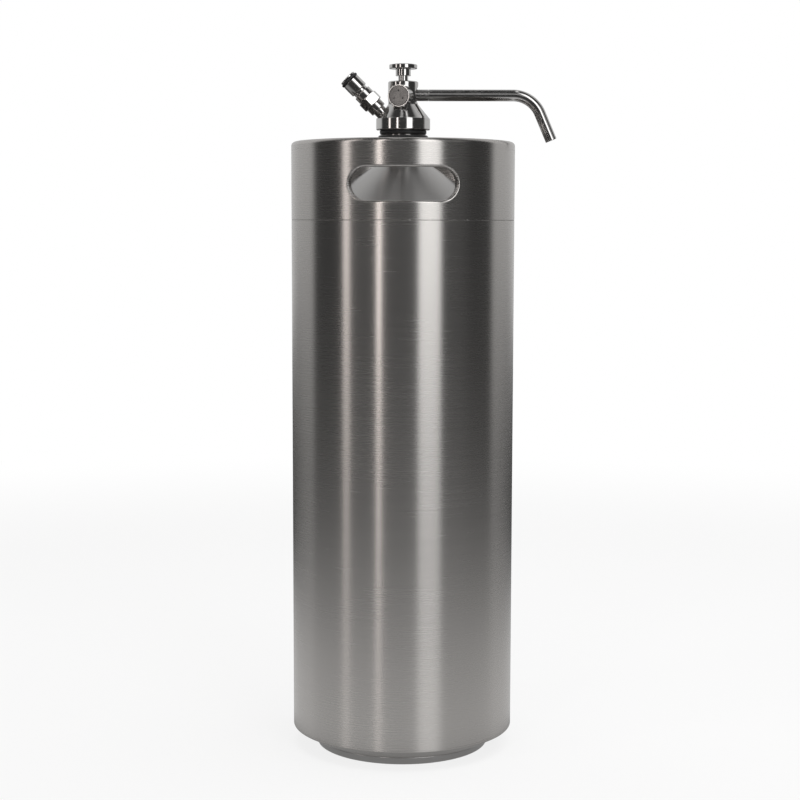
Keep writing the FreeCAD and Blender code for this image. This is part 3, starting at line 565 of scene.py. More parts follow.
def thread(form, place, root, crest, pitch, low, high, segments=96):
    """A raised screw thread that fades into its root at both ends; inward where crest is less than root."""
    turns = (high - low) / pitch
    steps = int(turns * segments)
    way = math.copysign(1, crest - root)
    columns = []
    for step in range(steps + 1):
        turned = FULL_TURN * turns * step / steps
        middle = low + (high - low) * step / steps
        fade = min(1, step / segments * THREAD_FADE, (steps - step) / segments * THREAD_FADE)
        ray = Vector((math.cos(turned), math.sin(turned), 0))
        height = (crest - root) * fade
        half_root = pitch * THREAD_ROOT * max(fade, THREAD_THINNEST)
        half_crest = pitch * THREAD_CREST * max(fade, THREAD_THINNEST)
        tilt = math.cos(THREAD_FLANK) * way
        spots = [
            (root, -half_root, ray * tilt - UP * math.sin(THREAD_FLANK)),
            (root + height, -half_crest, ray * way - UP * THREAD_TILT),
            (root + height, half_crest, ray * way + UP * THREAD_TILT),
            (root, half_root, ray * tilt + UP * math.sin(THREAD_FLANK)),
        ]
        if way < 0:
            spots.reverse()
        columns.append([
            (place @ (ray * radius + UP * (middle + off)), place.to_3x3() @ facing.normalized())
            for radius, off, facing in spots
        ])
    return form.grid(columns)


def carved(piece, cutters, spots, place=IN_PLACE):
    """Cut solids out of a turned piece, and keep the turned surface's own facings."""
    for number, cutter in enumerate(cutters):
        modifier = piece.modifiers.new(f"cut_{number}", "BOOLEAN")
        modifier.operation = "DIFFERENCE"
        modifier.solver = "EXACT"
        modifier.object = added(f"cutter_{number}", cutter.mesh("cutter"))
    bpy.context.view_layer.update()
    shown = piece.evaluated_get(bpy.context.evaluated_depsgraph_get())
    mesh = bpy.data.meshes.new_from_object(shown)
    for modifier in list(piece.modifiers):
        bpy.data.objects.remove(modifier.object)
    piece.modifiers.clear()
    piece.data = mesh
    mesh.shade_smooth()
    back = place.inverted()
    turn = place.to_3x3()
    known = {}

    def turned_facing(index):
        if index not in known:
            local = back @ mesh.vertices[index].co
            flat = Vector((local.x, local.y))
            radius = flat.length
            best = None
            for here, there in zip(spots, spots[1:]):
                start = Vector(here[:2])
                run = Vector(there[:2]) - start
                if run.length < SAME_SPOT:
                    continue
                along = max(0, min(1, (Vector((radius, local.z)) - start).dot(run) / run.length_squared))
                away = (start + run * along - Vector((radius, local.z))).length
                if best is None or away < best[0]:
                    best = (away, Vector(here[2:]).lerp(Vector(there[2:]), along))
            out = flat.normalized() if radius > SAME_SPOT else Vector((1, 0))
            facing = best[1]
            known[index] = (turn @ Vector((out.x * facing.x, out.y * facing.x, facing.y))).normalized()
        return known[index]

    facings = []
    for polygon in mesh.polygons:
        for index in polygon.vertices:
            facing = turned_facing(index)
            facings.append(facing if facing.dot(polygon.normal) > SAME_FACING else polygon.normal.copy())
    mesh.normals_split_custom_set(facings)


# Shader maths

class Signal:
    """A shader socket that can be used in a Python expression."""

    def __init__(self, paint, socket):
        self.paint = paint
        self.socket = socket

    def worked(self, operation, *values):
        return self.paint.add("ShaderNodeMath", {"operation": operation}, dict(enumerate(values)))

    def __add__(self, other):
        return self.worked("ADD", self, other)

    def __radd__(self, other):
        return self.worked("ADD", other, self)

    def __sub__(self, other):
        return self.worked("SUBTRACT", self, other)

    def __rsub__(self, other):
        return self.worked("SUBTRACT", other, self)

    def __mul__(self, other):
        return self.worked("MULTIPLY", self, other)

    def __rmul__(self, other):
        return self.worked("MULTIPLY", other, self)

    def __neg__(self):
        return self.worked("MULTIPLY", self, -1)

    def __abs__(self):
        return self.worked("ABSOLUTE", self)

    def ramped(self, low, high):
        """0 at low and 1 at high, smooth between them."""
        return self.paint.add(
            "ShaderNodeMapRange", {"interpolation_type": "SMOOTHSTEP"},
            {"Value": self, "From Min": low, "From Max": high}, "Result",
        )


class Paint:
    """The nodes of one material or of the world."""

    def __init__(self, owner):
        owner.use_nodes = True
        self.tree = owner.node_tree
        self.tree.nodes.clear()

    def add(self, kind, settings=None, inputs=None, output=0):
        """One node with its settings and inputs; the answer is the named output."""
        node = self.tree.nodes.new(kind)
        for name, value in (settings or {}).items():
            setattr(node, name, value)
        for name, value in (inputs or {}).items():
            socket = node.inputs[name]
            if isinstance(value, Signal):
                self.tree.links.new(value.socket, socket)
            else:
                socket.default_value = value
        return Signal(self, node.outputs[output]) if len(node.outputs) else node

    def mixed(self, factor, first, second):
        """A colour between two colours."""
        inputs = {0: factor, MIX_FIRST: (*first, 1), MIX_SECOND: (*second, 1)}
        return self.add("ShaderNodeMix", {"data_type": "RGBA"}, inputs, MIX_RESULT)

    def varied(self, factor, colour, darkest, lightest):
        """A colour between two shares of itself."""
        first, second = ([channel * level for channel in colour] for level in (darkest, lightest))
        return self.mixed(factor, first, second)

    def place(self, stretch=(1, 1, 1)):
        """The spot on the object, in metres, with each axis scaled."""
        spot = self.add("ShaderNodeTexCoord", output="Object")
        return self.add("ShaderNodeVectorMath", {"operation": "MULTIPLY"}, {0: spot, 1: stretch})

    def noise(self, scale=1, stretch=(1, 1, 1), detail=2, roughness=0.5):
        values = {"Vector": self.place(stretch), "Scale": scale, "Detail": detail, "Roughness": roughness}
        return self.add("ShaderNodeTexNoise", {"noise_dimensions": "3D"}, values)

    def bump(self, height, depth, strength):
        values = {"Height": height, "Distance": depth, "Strength": strength}
        return self.add("ShaderNodeBump", None, values)

    def finish(self, **values):
        """The surface shader, with its sockets named in lower case and joined by underscores."""
        inputs = {name.replace("_", " ").title(): value for name, value in values.items()}
        surface = self.add("ShaderNodeBsdfPrincipled", None, inputs)
        self.add("ShaderNodeOutputMaterial", None, {"Surface": surface})


# Finishes

def named(name):
    """Turn a painter into a finish: the material of that name, painted on its first use."""

    def wrapped(painter):
        def material():
            found = bpy.data.materials.get(name)
            if found is None:
                found = bpy.data.materials.new(name)
                painter(Paint(found), bpy.context.scene.finish_settings)
            return found

        return material

    return wrapped


@named("brushed_keg_steel")
def brushed_steel(paint, finish):
    """Steel brushed round the keg: fine level lines that smear reflections up and down."""
    fine = paint.noise(stretch=(16, 16, 1900), detail=3, roughness=0.6)
    broad = paint.noise(stretch=(6, 6, 420))
    cloud = paint.noise(scale=7)
    lines = fine * 0.75 + broad * 0.25
    tone = (lines - 0.5) * 1.6 + 0.5
    wear = (cloud - 0.5) * 0.06
    paint.finish(
        base_color=paint.varied(tone, finish.keg_colour, darkest=0.965, lightest=1.035),
        metallic=1.0,
        roughness=finish.keg_roughness + (lines - 0.5) * 0.06 + wear,
        anisotropic=finish.keg_grain,
        anisotropic_rotation=0.25,
        normal=paint.bump(lines, depth=0.01 * MM, strength=0.045),
    )


@named("satin_shoulder_steel")
def satin_steel(paint, finish):
    """The duller steel inside the collar, with faint turning lines and stains."""
    stains = paint.noise(scale=38, detail=4, roughness=0.6)
    grain = paint.noise(stretch=(300, 300, 900))
    paint.finish(
        base_color=paint.varied(stains, finish.shoulder_colour, darkest=0.9, lightest=1.08),
        metallic=1.0,
        roughness=0.33 + (stains - 0.5) * 0.12,
        anisotropic=0.7,
        anisotropic_rotation=0.25,
        normal=paint.bump(grain, depth=0.01 * MM, strength=0.15),
    )


def polished(paint, colour, roughness, lines, painted_shade=1):
    """Turned and polished steel: bright, with a trace of turning lines and handling haze; a painted shade
    below 1 darkens its colour.
    """
    haze = paint.noise(scale=160, detail=3, roughness=0.6)
    turned = paint.noise(stretch=(60, 60, 2600))
    paint.finish(
        base_color=paint.varied(haze, colour, darkest=0.94 * painted_shade, lightest=1.04 * painted_shade),
        metallic=1.0,
        roughness=roughness + haze.ramped(0.35, 0.75) * 0.07,
        normal=paint.bump(turned, depth=0.008 * MM, strength=lines),
    )


@named("polished_tap_steel")
def tap_steel(paint, finish):
    polished(paint, finish.tap_colour, finish.tap_roughness, lines=0.25)


@named("polished_spout_steel")
def spout_steel(paint, finish):
    polished(paint, finish.tap_colour, finish.spout_roughness, lines=0.04)


@named("painted_shade_disc_steel")
def painted_dark_disc(paint, finish):
    """The relief valve's disc, darkened with painted shade that stands in for the dark reflection it shows.
    """
    polished(paint, finish.tap_colour, roughness=0.24, lines=0.1, painted_shade=0.3)


@named("black_rubber")
def black_rubber(paint, finish):
    """Moulded rubber with a dull sheen and dust in its grain."""
    grain = paint.noise(scale=900, detail=3, roughness=0.6)
    dust = paint.noise(scale=120)
    paint.finish(
        base_color=paint.varied(dust, finish.rubber_colour, darkest=1, lightest=2.2),
        roughness=0.42 + grain * 0.2,
        normal=paint.bump(grain, depth=0.03 * MM, strength=0.4),
    )


@named("weld_steel")
def weld_steel(paint, finish):
    """The dull, slightly browned steel of a ground weld."""
    heat = paint.noise(stretch=(60, 60, 500), detail=3, roughness=0.6)
    paint.finish(
        base_color=paint.mixed(heat, finish.weld_dark, finish.weld_light),
        metallic=1.0,
        roughness=0.42 + heat * 0.2,
        normal=paint.bump(heat, depth=0.05 * MM, strength=0.5),
    )


@named("spring_wire")
def spring_wire(paint, finish):
    """Drawn wire of the springs."""
    drawn = paint.noise(scale=700)
    paint.finish(
        base_color=paint.varied(drawn, finish.wire_colour, darkest=0.7, lightest=1),
        metallic=1.0,
        roughness=0.25 + drawn * 0.15,
    )


# Places

def gas_place():
    gas = bpy.context.scene.gas_sizes
    return Matrix.Translation((0, 0, gas.origin)) @ Matrix.Rotation(-gas.lean, 4, "Y")


def relief_place():
    """The boss's axis, with local Z outwards and local Y upwards."""
    relief = bpy.context.scene.relief_sizes
    outwards = Vector((-math.sin(relief.turn), -math.cos(relief.turn), 0))
    side = UP.cross(outwards)
    turn = Matrix((side, UP, outwards)).transposed().to_4x4()
    return Matrix.Translation((0, 0, relief.height)) @ turn


def spout_place(distance=0):
    """The spout's axis at a distance from the keg's axis along the tube, with local Z along it."""
    spout = bpy.context.scene.spout_sizes
    arc = spout.bend_radius * spout.bend_turn
    turned = max(0, min(distance - spout.bend_start, arc)) / spout.bend_radius
    along = Vector((math.cos(turned), 0, -math.sin(turned)))
    above = Vector((math.sin(turned), 0, math.cos(turned)))
    spot = Vector((min(distance, spout.bend_start), 0, spout.height))
    spot += Vector((math.sin(turned), 0, math.cos(turned) - 1)) * spout.bend_radius
    spot += along * max(0, distance - spout.bend_start - arc)
    turn = Matrix((above, along.cross(above), along)).transposed().to_4x4()
    return Matrix.Translation(spot) @ turn


# The pieces

class KEG_OT_shell(bpy.types.Operator):
    """Add the brushed wall, the bottom with its sloping corner, the foot ring and the weld seam"""

    bl_idname = "keg.shell"
    bl_label = "Keg wall and bottom"

    def execute(self, context):
        keg = context.scene.keg_sizes
        low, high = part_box("keg_shell")
        radius = high.x
        top = high.z
        underside = low.z - keg.corner
        steel = brushed_steel()

        lathed(("keg_wall_skin", "keg", steel, "keg_steel", "keg_shell"), [
            (radius - keg.wall, low.z), (radius, low.z), (radius, top), (radius - keg.wall, top),
        ], keg.edge, segments=keg.segments, closed=True)

        foot_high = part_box("foot_ring")[1]
        wide = foot_high.x
        run, rise = radius - wide, keg.slope_rise

        # The inside of the slope lies one sheet's thickness from the outside
        slant = math.hypot(run, rise)
        inner_run = run + keg.wall * (slant - run) / rise
        inner_rise = (keg.wall * slant + (run - keg.wall) * rise) / run
        panel_foot = keg.panel_radius
        panel_flat = panel_foot - keg.panel_run
        panel_top = underside + keg.panel_rise
        lathed(("keg_bottom_skin", "keg", steel, "keg_steel", "keg_bottom"), [
            (0, panel_top), (panel_flat, panel_top, keg.panel_round),
            (panel_foot, underside, keg.panel_round),
            (radius - run, underside, keg.corner_round), (radius, underside + rise, keg.corner_round),
            (radius, low.z), (radius - keg.wall, low.z),
            (radius - keg.wall, underside + inner_rise, keg.corner_round - keg.wall),
            (radius - inner_run, underside + keg.wall, keg.corner_round),
            (panel_foot, underside + keg.wall, keg.panel_round),
            (panel_flat, panel_top + keg.wall, keg.panel_round), (0, panel_top + keg.wall),
        ], segments=keg.segments)

        narrow = wide - keg.foot_taper
        lathed(("foot_ring_skin", "keg", satin_steel(), "keg_steel", "foot_ring"), [
            (narrow - keg.foot_wall, 0), (narrow, 0),
            (wide, foot_high.z), (wide - keg.foot_wall, foot_high.z),
        ], keg.foot_edge, segments=keg.segments, closed=True)

        collar_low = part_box("handle_collar")[0].z
        middle = (top + collar_low) / 2
        half = keg.seam_width / 2
        seam_radius = radius - keg.seam_depth
        lathed(("collar_weld_seam", "keg", weld_steel(), "keg_steel"), [
            (seam_radius - keg.wall, middle - half), (seam_radius, middle - half, half),
            (seam_radius, middle + half, half), (seam_radius - keg.wall, middle + half),
        ], segments=keg.segments)
        for number, side in enumerate(WELD_MARKS, 1):
            around = Matrix.Rotation(math.asin(side * MM / radius), 4, "Z")
            outwards = Matrix.Translation((0, -seam_radius, 0)) @ Matrix.Rotation(QUARTER_TURN, 4, "X")
            lathed((f"weld_dot_{number}", "keg", weld_steel(), "keg_steel"), [
                (keg.weld_dot, 0), (keg.weld_dot, keg.dot_rise, keg.weld_dot), (0, keg.dot_rise),
            ], place=Matrix.Translation((0, 0, middle)) @ around @ outwards, segments=32)
        return {"FINISHED"}


class KEG_OT_shoulder(bpy.types.Operator):
    """Add the shoulder inside the collar and the threaded neck"""

    bl_idname = "keg.shoulder"
    bl_label = "Shoulder and neck"

    def execute(self, context):
        keg = context.scene.keg_sizes
        head = context.scene.head_sizes
        low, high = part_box("keg_shoulder")
        neck_low, neck_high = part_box("keg_neck")
        skirt = high.x
        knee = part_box("handle_collar")[0].z
        neck = neck_high.x
        lathed(("shoulder_skin", "keg", satin_steel(), "keg_steel", "keg_shoulder"), [
            (skirt - keg.wall, low.z), (skirt, low.z), (skirt, knee, keg.shoulder_knee),
            (neck, high.z), (neck, high.z - keg.wall), (skirt - keg.wall, knee, keg.shoulder_knee),
        ], segments=keg.segments, closed=True)

        bore = head.thread_crest + (neck - head.thread_crest) * head.neck_play
        profile = rounded_path(softened([
            (bore, neck_low.z), (neck, neck_low.z), (neck, neck_high.z - keg.neck_bevel),
            (neck - keg.neck_bevel, neck_high.z), (bore, neck_high.z),
        ], head.edge), closed=True)
        form = Form().lathe(profile, segments=keg.segments, closed=True)
        thread(form, IN_PLACE, bore, bore - head.neck_thread, head.thread_pitch,
               neck_low.z + head.thread_pitch, neck_high.z - head.thread_pitch * NECK_RUNOUT)
        form.piece("neck_with_thread", "keg", tap_steel(), "keg_steel", "keg_neck")

        ring_top = neck_high.z - keg.neck_bevel
        ring_low = ring_top - keg.neck_ring
        lathed(("neck_ring", "keg", black_rubber(), "gasket_rubber"), [
            (neck - keg.wall, ring_low), (neck + keg.wall / 2, ring_low, keg.wall),
            (neck + keg.wall / 2, ring_top, keg.wall), (neck - keg.wall, ring_top),
        ], segments=keg.segments, closed=True)

        toe = neck + keg.neck_weld
        lathed(("neck_weld_bead", "keg", weld_steel(), "keg_steel"), [
            (toe, high.z - keg.neck_weld * BEAD_BELOW), (toe, high.z, keg.neck_weld),
            (neck, high.z + keg.neck_weld * BEAD_ABOVE),
        ], segments=keg.segments)
        return {"FINISHED"}


class Handhold:
    """A long hole seen square on, with round ends, and its even offsets."""

    STRAIGHT = 40
    ROUND = 48

    def __init__(self, collar):
        self.end_radius = collar.hold_height / 2
        self.half_straight = collar.hold_width / 2 - self.end_radius
        self.middle = collar.hold_middle

    def around(self):
        """The way round: the place along the straight, from 1 to -1, and the turn, for each step."""
        for step in range(self.ROUND):
            yield 1, QUARTER_TURN * (1 - 2 * step / self.ROUND)
        for step in range(self.STRAIGHT):
            yield 1 - 2 * step / self.STRAIGHT, -QUARTER_TURN
        for step in range(self.ROUND):
            yield -1, -QUARTER_TURN - QUARTER_TURN * 2 * step / self.ROUND
        for step in range(self.STRAIGHT):
            yield -1 + 2 * step / self.STRAIGHT, QUARTER_TURN

    def spot(self, along, turned, offset):
        """Across and up of a spot on the hole's edge, grown by an offset."""
        reach = self.end_radius + offset
        across = self.half_straight * along + reach * math.cos(turned)
        return across, self.middle + reach * math.sin(turned)


def wall_point(radius, round_distance, height):
    """A spot on a cylinder, with its facing; the distance runs round the cylinder from the front."""
    turned = round_distance / radius
    facing = Vector((math.sin(turned), -math.cos(turned), 0))
    return facing * radius + UP * height, facing


def frame_spot(along, turned, half_straight, half_width, low, middle, high):
    """The spot on the edge of the collar's half that a spot of the handhold's edge is joined to."""
    tilt = math.atan2(math.sin(turned), abs(math.cos(turned)))
    side = math.copysign(1, math.cos(turned) if abs(math.cos(turned)) > SAME_SPOT else along)
    edge = high if tilt > 0 else low
    share_up = abs(tilt) / QUARTER_TURN
    if share_up > 1 - SAME_SPOT:
        return half_straight * along, edge
    if share_up >= 0.5:
        return side * (half_width + (half_straight - half_width) * (share_up * 2 - 1)), edge
    return side * half_width, middle + (edge - middle) * share_up * 2


class KEG_OT_collar(bpy.types.Operator):
    """Add the handle collar with its rolled top and two turned-in handholds"""

    bl_idname = "keg.collar"
    bl_label = "Handle collar"

    def execute(self, context):
        keg = context.scene.keg_sizes
        collar = context.scene.collar_sizes
        low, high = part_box("handle_collar")
        radius = high.x
        inside = radius - collar.wall
        wall_top = high.z - collar.top_round
        hold = Handhold(collar)
        form = Form()
        for back in (0, math.pi):
            turn = Matrix.Rotation(back, 4, "Z")
            self.add_wall(form, turn, radius, hold, collar, low.z, wall_top, False)
            self.add_wall(form, turn, inside, hold, collar, low.z, wall_top, True)
            self.add_rim(form, turn, radius, hold, collar)

        inner_round = collar.top_round - collar.wall
        lip = collar.lip_radius
        low_lip = high.z - collar.lip_turn
        top = rounded_path([
            (radius, wall_top), (radius, high.z, collar.top_round),
            (lip, high.z, collar.lip_round), (lip, low_lip, collar.wall / 2),
            (lip + collar.wall, low_lip, collar.wall / 2),
            (lip + collar.wall, high.z - collar.wall, collar.lip_round - collar.wall),
            (inside, high.z - collar.wall, inner_round), (inside, wall_top),
        ])
        form.lathe(top, segments=keg.segments)
        form.lathe(rounded_path([(inside, low.z), (radius, low.z)]), segments=keg.segments)
        form.piece("handle_collar_skin", "keg", brushed_steel(), "keg_steel", "handle_collar")
        return {"FINISHED"}

    def add_wall(self, form, turn, radius, hold, collar, low, high, inner):
        """Half of the wall round one handhold, as a grid from the hole's edge to the half's edge."""
        half_width = radius * QUARTER_TURN
        offset = collar.wall if inner else collar.hold_bend
        columns = []
        for along, turned in hold.around():
            across, up = hold.spot(along, turned, offset)
            start = radius * math.asin(across / radius)
            end, edge = frame_spot(along, turned, hold.half_straight, half_width, low, hold.middle, high)
            column = []
            for row in range(collar.rows + 1):
                part = row / collar.rows
                point, facing = wall_point(radius, start + (end - start) * part, up + (edge - up) * part)
                column.append((turn @ point, turn.to_3x3() @ (-facing if inner else facing)))
            columns.append(column[::-1] if inner else column)
        form.grid(columns, closed=True)

    def add_rim(self, form, turn, radius, hold, collar):
        """The turned-in rim of a handhold: a bend, a flat, a thin edge and the back."""
        bend = collar.hold_bend
        steps = 8
        lines = []
        for step in range(steps + 1):
            cosine = math.cos(QUARTER_TURN * step / steps)
            sine = math.sin(QUARTER_TURN * step / steps)
            lines.append((bend * (1 - sine), bend * (1 - cosine), cosine, -sine))
        lines.append((0, collar.hold_depth, 0, -1))
        edge = [(0, collar.hold_depth, -1, 0), (collar.wall, collar.hold_depth, -1, 0)]
        back = [(collar.wall, collar.hold_depth, 0, 1), (collar.wall, collar.wall, 0, 1)]
        for part in (lines, edge, back):
            columns = []
            for along, turned in hold.around():
                column = []
                for offset, depth, outwards, sideways in part:
                    across, up = hold.spot(along, turned, offset)
                    radial = Vector((across / radius, -math.sqrt(1 - (across / radius) ** 2), 0))
                    point = radial * (radius - depth) + UP * up
                    from_middle = Vector((math.cos(turned), 0, math.sin(turned)))
                    facing = radial * outwards + from_middle * sideways
                    column.append((turn @ point, turn.to_3x3() @ facing.normalized()))
                columns.append(column[::-1])
            form.grid(columns, closed=True)


class KEG_OT_tap_body(bpy.types.Operator):
    """Add the tap head's turned body with its plug, spot faces and front boss, and the neck gasket"""

    bl_idname = "keg.tap_body"
    bl_label = "Tap body and gasket"

    def execute(self, context):
        head = context.scene.head_sizes
        relief = context.scene.relief_sizes
        spout = context.scene.spout_sizes
        gas = context.scene.gas_sizes
        low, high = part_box("tap_body")
        gasket_low, gasket_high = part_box("neck_gasket")
        flange_low = gasket_high.z
        flange_top = flange_low + head.flange_thickness
        barrel_low = flange_top + head.cone_height
        bevel = head.flange_chamfer
        socket_low = high.z - head.gland_depth
        chamber_high = low.z + head.chamber_depth
        outline = rounded_path(softened([
            (head.chamber_radius, low.z), (head.thread_root - head.thread_bevel, low.z),
            (head.thread_root, low.z + head.thread_bevel), (head.thread_root, flange_low),
            (head.flange_radius - bevel, flange_low), (head.flange_radius, flange_low + bevel),
            (head.flange_radius, flange_top - bevel), (head.flange_radius - bevel, flange_top),
            (head.barrel_radius, barrel_low, head.barrel_foot),
            (head.barrel_radius, high.z - head.barrel_edge), (head.barrel_radius - head.barrel_edge, high.z),
            (head.gland_radius, high.z), (head.gland_radius, socket_low), (0, socket_low),
            (0, chamber_high), (head.chamber_radius, chamber_high),
        ], head.edge), closed=True)
        form = Form().lathe(outline, segments=head.segments, closed=True)
        body = added("tap_head_body", form.mesh("tap_head_body"))
        to_spout = Matrix.Translation((0, 0, spout.height)) @ Matrix.Rotation(QUARTER_TURN, 4, "Y")
        spot_face = cylinder(spout.seat_radius, spout.seat, spout.seat * 2, to_spout)
        gas_face = cylinder(gas.collar_radius, gas.seat, gas.seat * 2, gas_place())
        carved(body, (spot_face, gas_face), [*outline, outline[0]])
        settled(body, "tap_head", tap_steel(), "tap_steel", "tap_body")

        runout = head.thread_pitch * PLUG_RUNOUT
        threads = thread(Form(), IN_PLACE, head.thread_root, head.thread_crest, head.thread_pitch,
                         low.z + runout, flange_low - runout)
        threads.piece("tap_head_thread", "tap_head", tap_steel(), "tap_steel")

        lathed(("relief_boss_skin", "tap_head", tap_steel(), "tap_steel"), [
            (relief.root_radius, relief.root), (relief.radius, relief.face, relief.bevel),
            (relief.cap_radius, relief.face), (relief.cap_radius, relief.face - relief.cap_depth),
        ], relief.edge, relief_place(), segments=192)

        bulge = (gasket_high.z - gasket_low.z) / 3
        hole = head.thread_crest + head.gasket_room
        lathed(("neck_gasket_skin", "neck_gasket", black_rubber(), "gasket_rubber", "neck_gasket"), [
            (hole, gasket_low.z), (gasket_high.x, gasket_low.z),
            (gasket_high.x, gasket_high.z), (hole, gasket_high.z),
        ], bulge, segments=192, closed=True)
        return {"FINISHED"}


class KEG_OT_press_valve(bpy.types.Operator):
    """Add the press knob, its stem and the gland that guides it"""

    bl_idname = "keg.press_valve"
    bl_label = "Press knob"

    def execute(self, context):
        head = context.scene.head_sizes
        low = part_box("press_knob")[0]
        disc_low = low.z + head.hub_height
        disc_high = disc_low + head.knob_thickness
        rim = head.knob_edge
        bore = head.stem_radius * 0.6
        lathed(("press_knob_skin", "press_valve", tap_steel(), "tap_steel", "press_knob"), [
            (bore, low.z), (head.hub_radius, low.z), (head.hub_radius, disc_low, 0.5 * MM),
            (head.knob_radius, disc_low, rim), (head.knob_radius, disc_high, rim),
            *crowned(head.knob_radius, disc_high, head.knob_crown, first=0.12, steps=8, rounding=2 * MM),
        ], head.edge, segments=192)

        gland_low, gland_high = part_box("valve_gland")
        hole = head.stem_radius + head.gland_play
        step = gland_high.z - head.gland_step
        ledge = head.stem_radius + head.gland_ledge
        lathed(("valve_gland_skin", "tap_head", tap_steel(), "tap_steel", "valve_gland"), [
            (hole, gland_low.z), (gland_high.x, gland_low.z), (gland_high.x, step),
            (ledge, step), (ledge - head.gland_bevel, gland_high.z), (hole, gland_high.z),
        ], head.gland_edge, closed=True)
        return {"FINISHED"}


class KEG_OT_gas_post(bpy.types.Operator):
    """Add the gas adapter, the post with its hexagon and grooves, its ring and its poppet"""

    bl_idname = "keg.gas_post"
    bl_label = "Gas post"

    def execute(self, context):
        gas = context.scene.gas_sizes
        place = gas_place()
        chamfer = 0.5 * MM
        shank = gas.neck_radius * 0.75
        lathed(("gas_adapter_skin", "tap_head", tap_steel(), "tap_steel", "gas_adapter"), [
            (0, gas.seat - gas.shank_depth), (shank, gas.seat - gas.shank_depth), (shank, gas.seat),
            (gas.neck_radius, gas.seat), (gas.neck_radius, gas.collar_start),
            (gas.collar_radius - chamfer, gas.collar_start), (gas.collar_radius, gas.collar_start + chamfer),
            (gas.collar_radius, gas.post_start - chamfer), (gas.collar_radius - chamfer, gas.post_start),
            (0, gas.post_start),
        ], gas.edge, place, segments=160)

        disc = gas.end - gas.disc_depth
        mouth_end = disc - gas.poppet_stroke - 1 * MM
        under_land = gas.land_radius - 0.2 * MM
        mouth_bevel = 0.4 * MM
        post = rounded_path(softened([
            (under_land, gas.hexagon_end - 1 * MM), (under_land, gas.hexagon_end),
            (gas.land_radius, gas.hexagon_end + gas.edge),
            (gas.land_radius, gas.groove_start), (gas.groove_radius, gas.groove_start + gas.groove_slope),
            (gas.groove_radius, gas.barrel_start - gas.groove_slope), (gas.barrel_radius, gas.barrel_start),
            (gas.barrel_radius, gas.ring_start), (gas.ring_groove, gas.ring_start),
            (gas.ring_groove, gas.lip_start), (gas.lip_radius, gas.lip_start),
            (gas.lip_radius, gas.end, chamfer), (gas.mouth_radius + mouth_bevel, gas.end),
            (gas.mouth_radius, gas.end - mouth_bevel), (gas.mouth_radius, mouth_end), (0, mouth_end),
        ], 0.18 * MM))
        form = Form().lathe(post, place, segments=160)
        hexagon(form, place, gas.hexagon_width, gas.post_start, gas.hexagon_end, gas.hexagon_turn, chamfer)
        form.piece("gas_post_skin", "tap_head", tap_steel(), "tap_steel", "gas_post")

        middle = (gas.ring_start + gas.lip_start) / 2
        section = [
            (gas.ring_groove + gas.section * (1 + math.cos(turned)), middle + gas.section * math.sin(turned),
             math.cos(turned), math.sin(turned))
            for turned in between(0, FULL_TURN, 24)
        ]
        Form().lathe(section, place, segments=160, closed=True).piece(
            "post_ring_skin", "tap_head", black_rubber(), "seal_rubber", "post_o_ring")

        disc_radius = gas.mouth_radius * 0.94
        disc_top = disc + 1 * MM
        tip = gas.end - gas.pin_depth
        lathed(("gas_poppet_skin", "gas_poppet", tap_steel(), "tap_steel", "gas_poppet"), [
            (0, disc), (disc_radius, disc), (disc_radius, disc_top, 0.2 * MM),
            (gas.pin_radius, disc_top, gas.edge), (gas.pin_radius, tip, chamfer), (0, tip),
        ], 0, place, segments=64)
        return {"FINISHED"}


class KEG_OT_relief_valve(bpy.types.Operator):
    """Add the crowned cap with its vents in the front boss"""

    bl_idname = "keg.relief_valve"
    bl_label = "Relief valve"

    def execute(self, context):
        relief = context.scene.relief_sizes
        place = relief_place()
        back = relief.face - relief.cap_depth
        side = relief.cap_radius - 0.1 * MM
        outline = rounded_path([
            (0, back), (side, back), (side, relief.face - 0.35 * MM, 0.3 * MM),
            (relief.cap_radius - 0.4 * MM, relief.face, 0.5 * MM),
            *crowned(relief.cap_radius, relief.face, relief.cap_crown, first=0, steps=6, rounding=3 * MM),
        ])
        form = Form().lathe(outline, place, segments=160)
        cap = added("relief_cap_skin", form.mesh("relief_cap_skin"))
        vents = []
        for turned in between(QUARTER_TURN, QUARTER_TURN + FULL_TURN, 3):
            seat = place @ Matrix.Rotation(turned, 4, "Z") @ Matrix.Translation((relief.vent_offset, 0, 0))
            vents.append(cylinder(relief.vent_radius, back + 1 * MM, relief.face + 2 * MM, seat, 48))
        carved(cap, vents, outline, place)
        # The cap's disc is darkened with painted shade
        settled(cap, "tap_head", painted_dark_disc(), "tap_steel", "relief_cap")
        return {"FINISHED"}


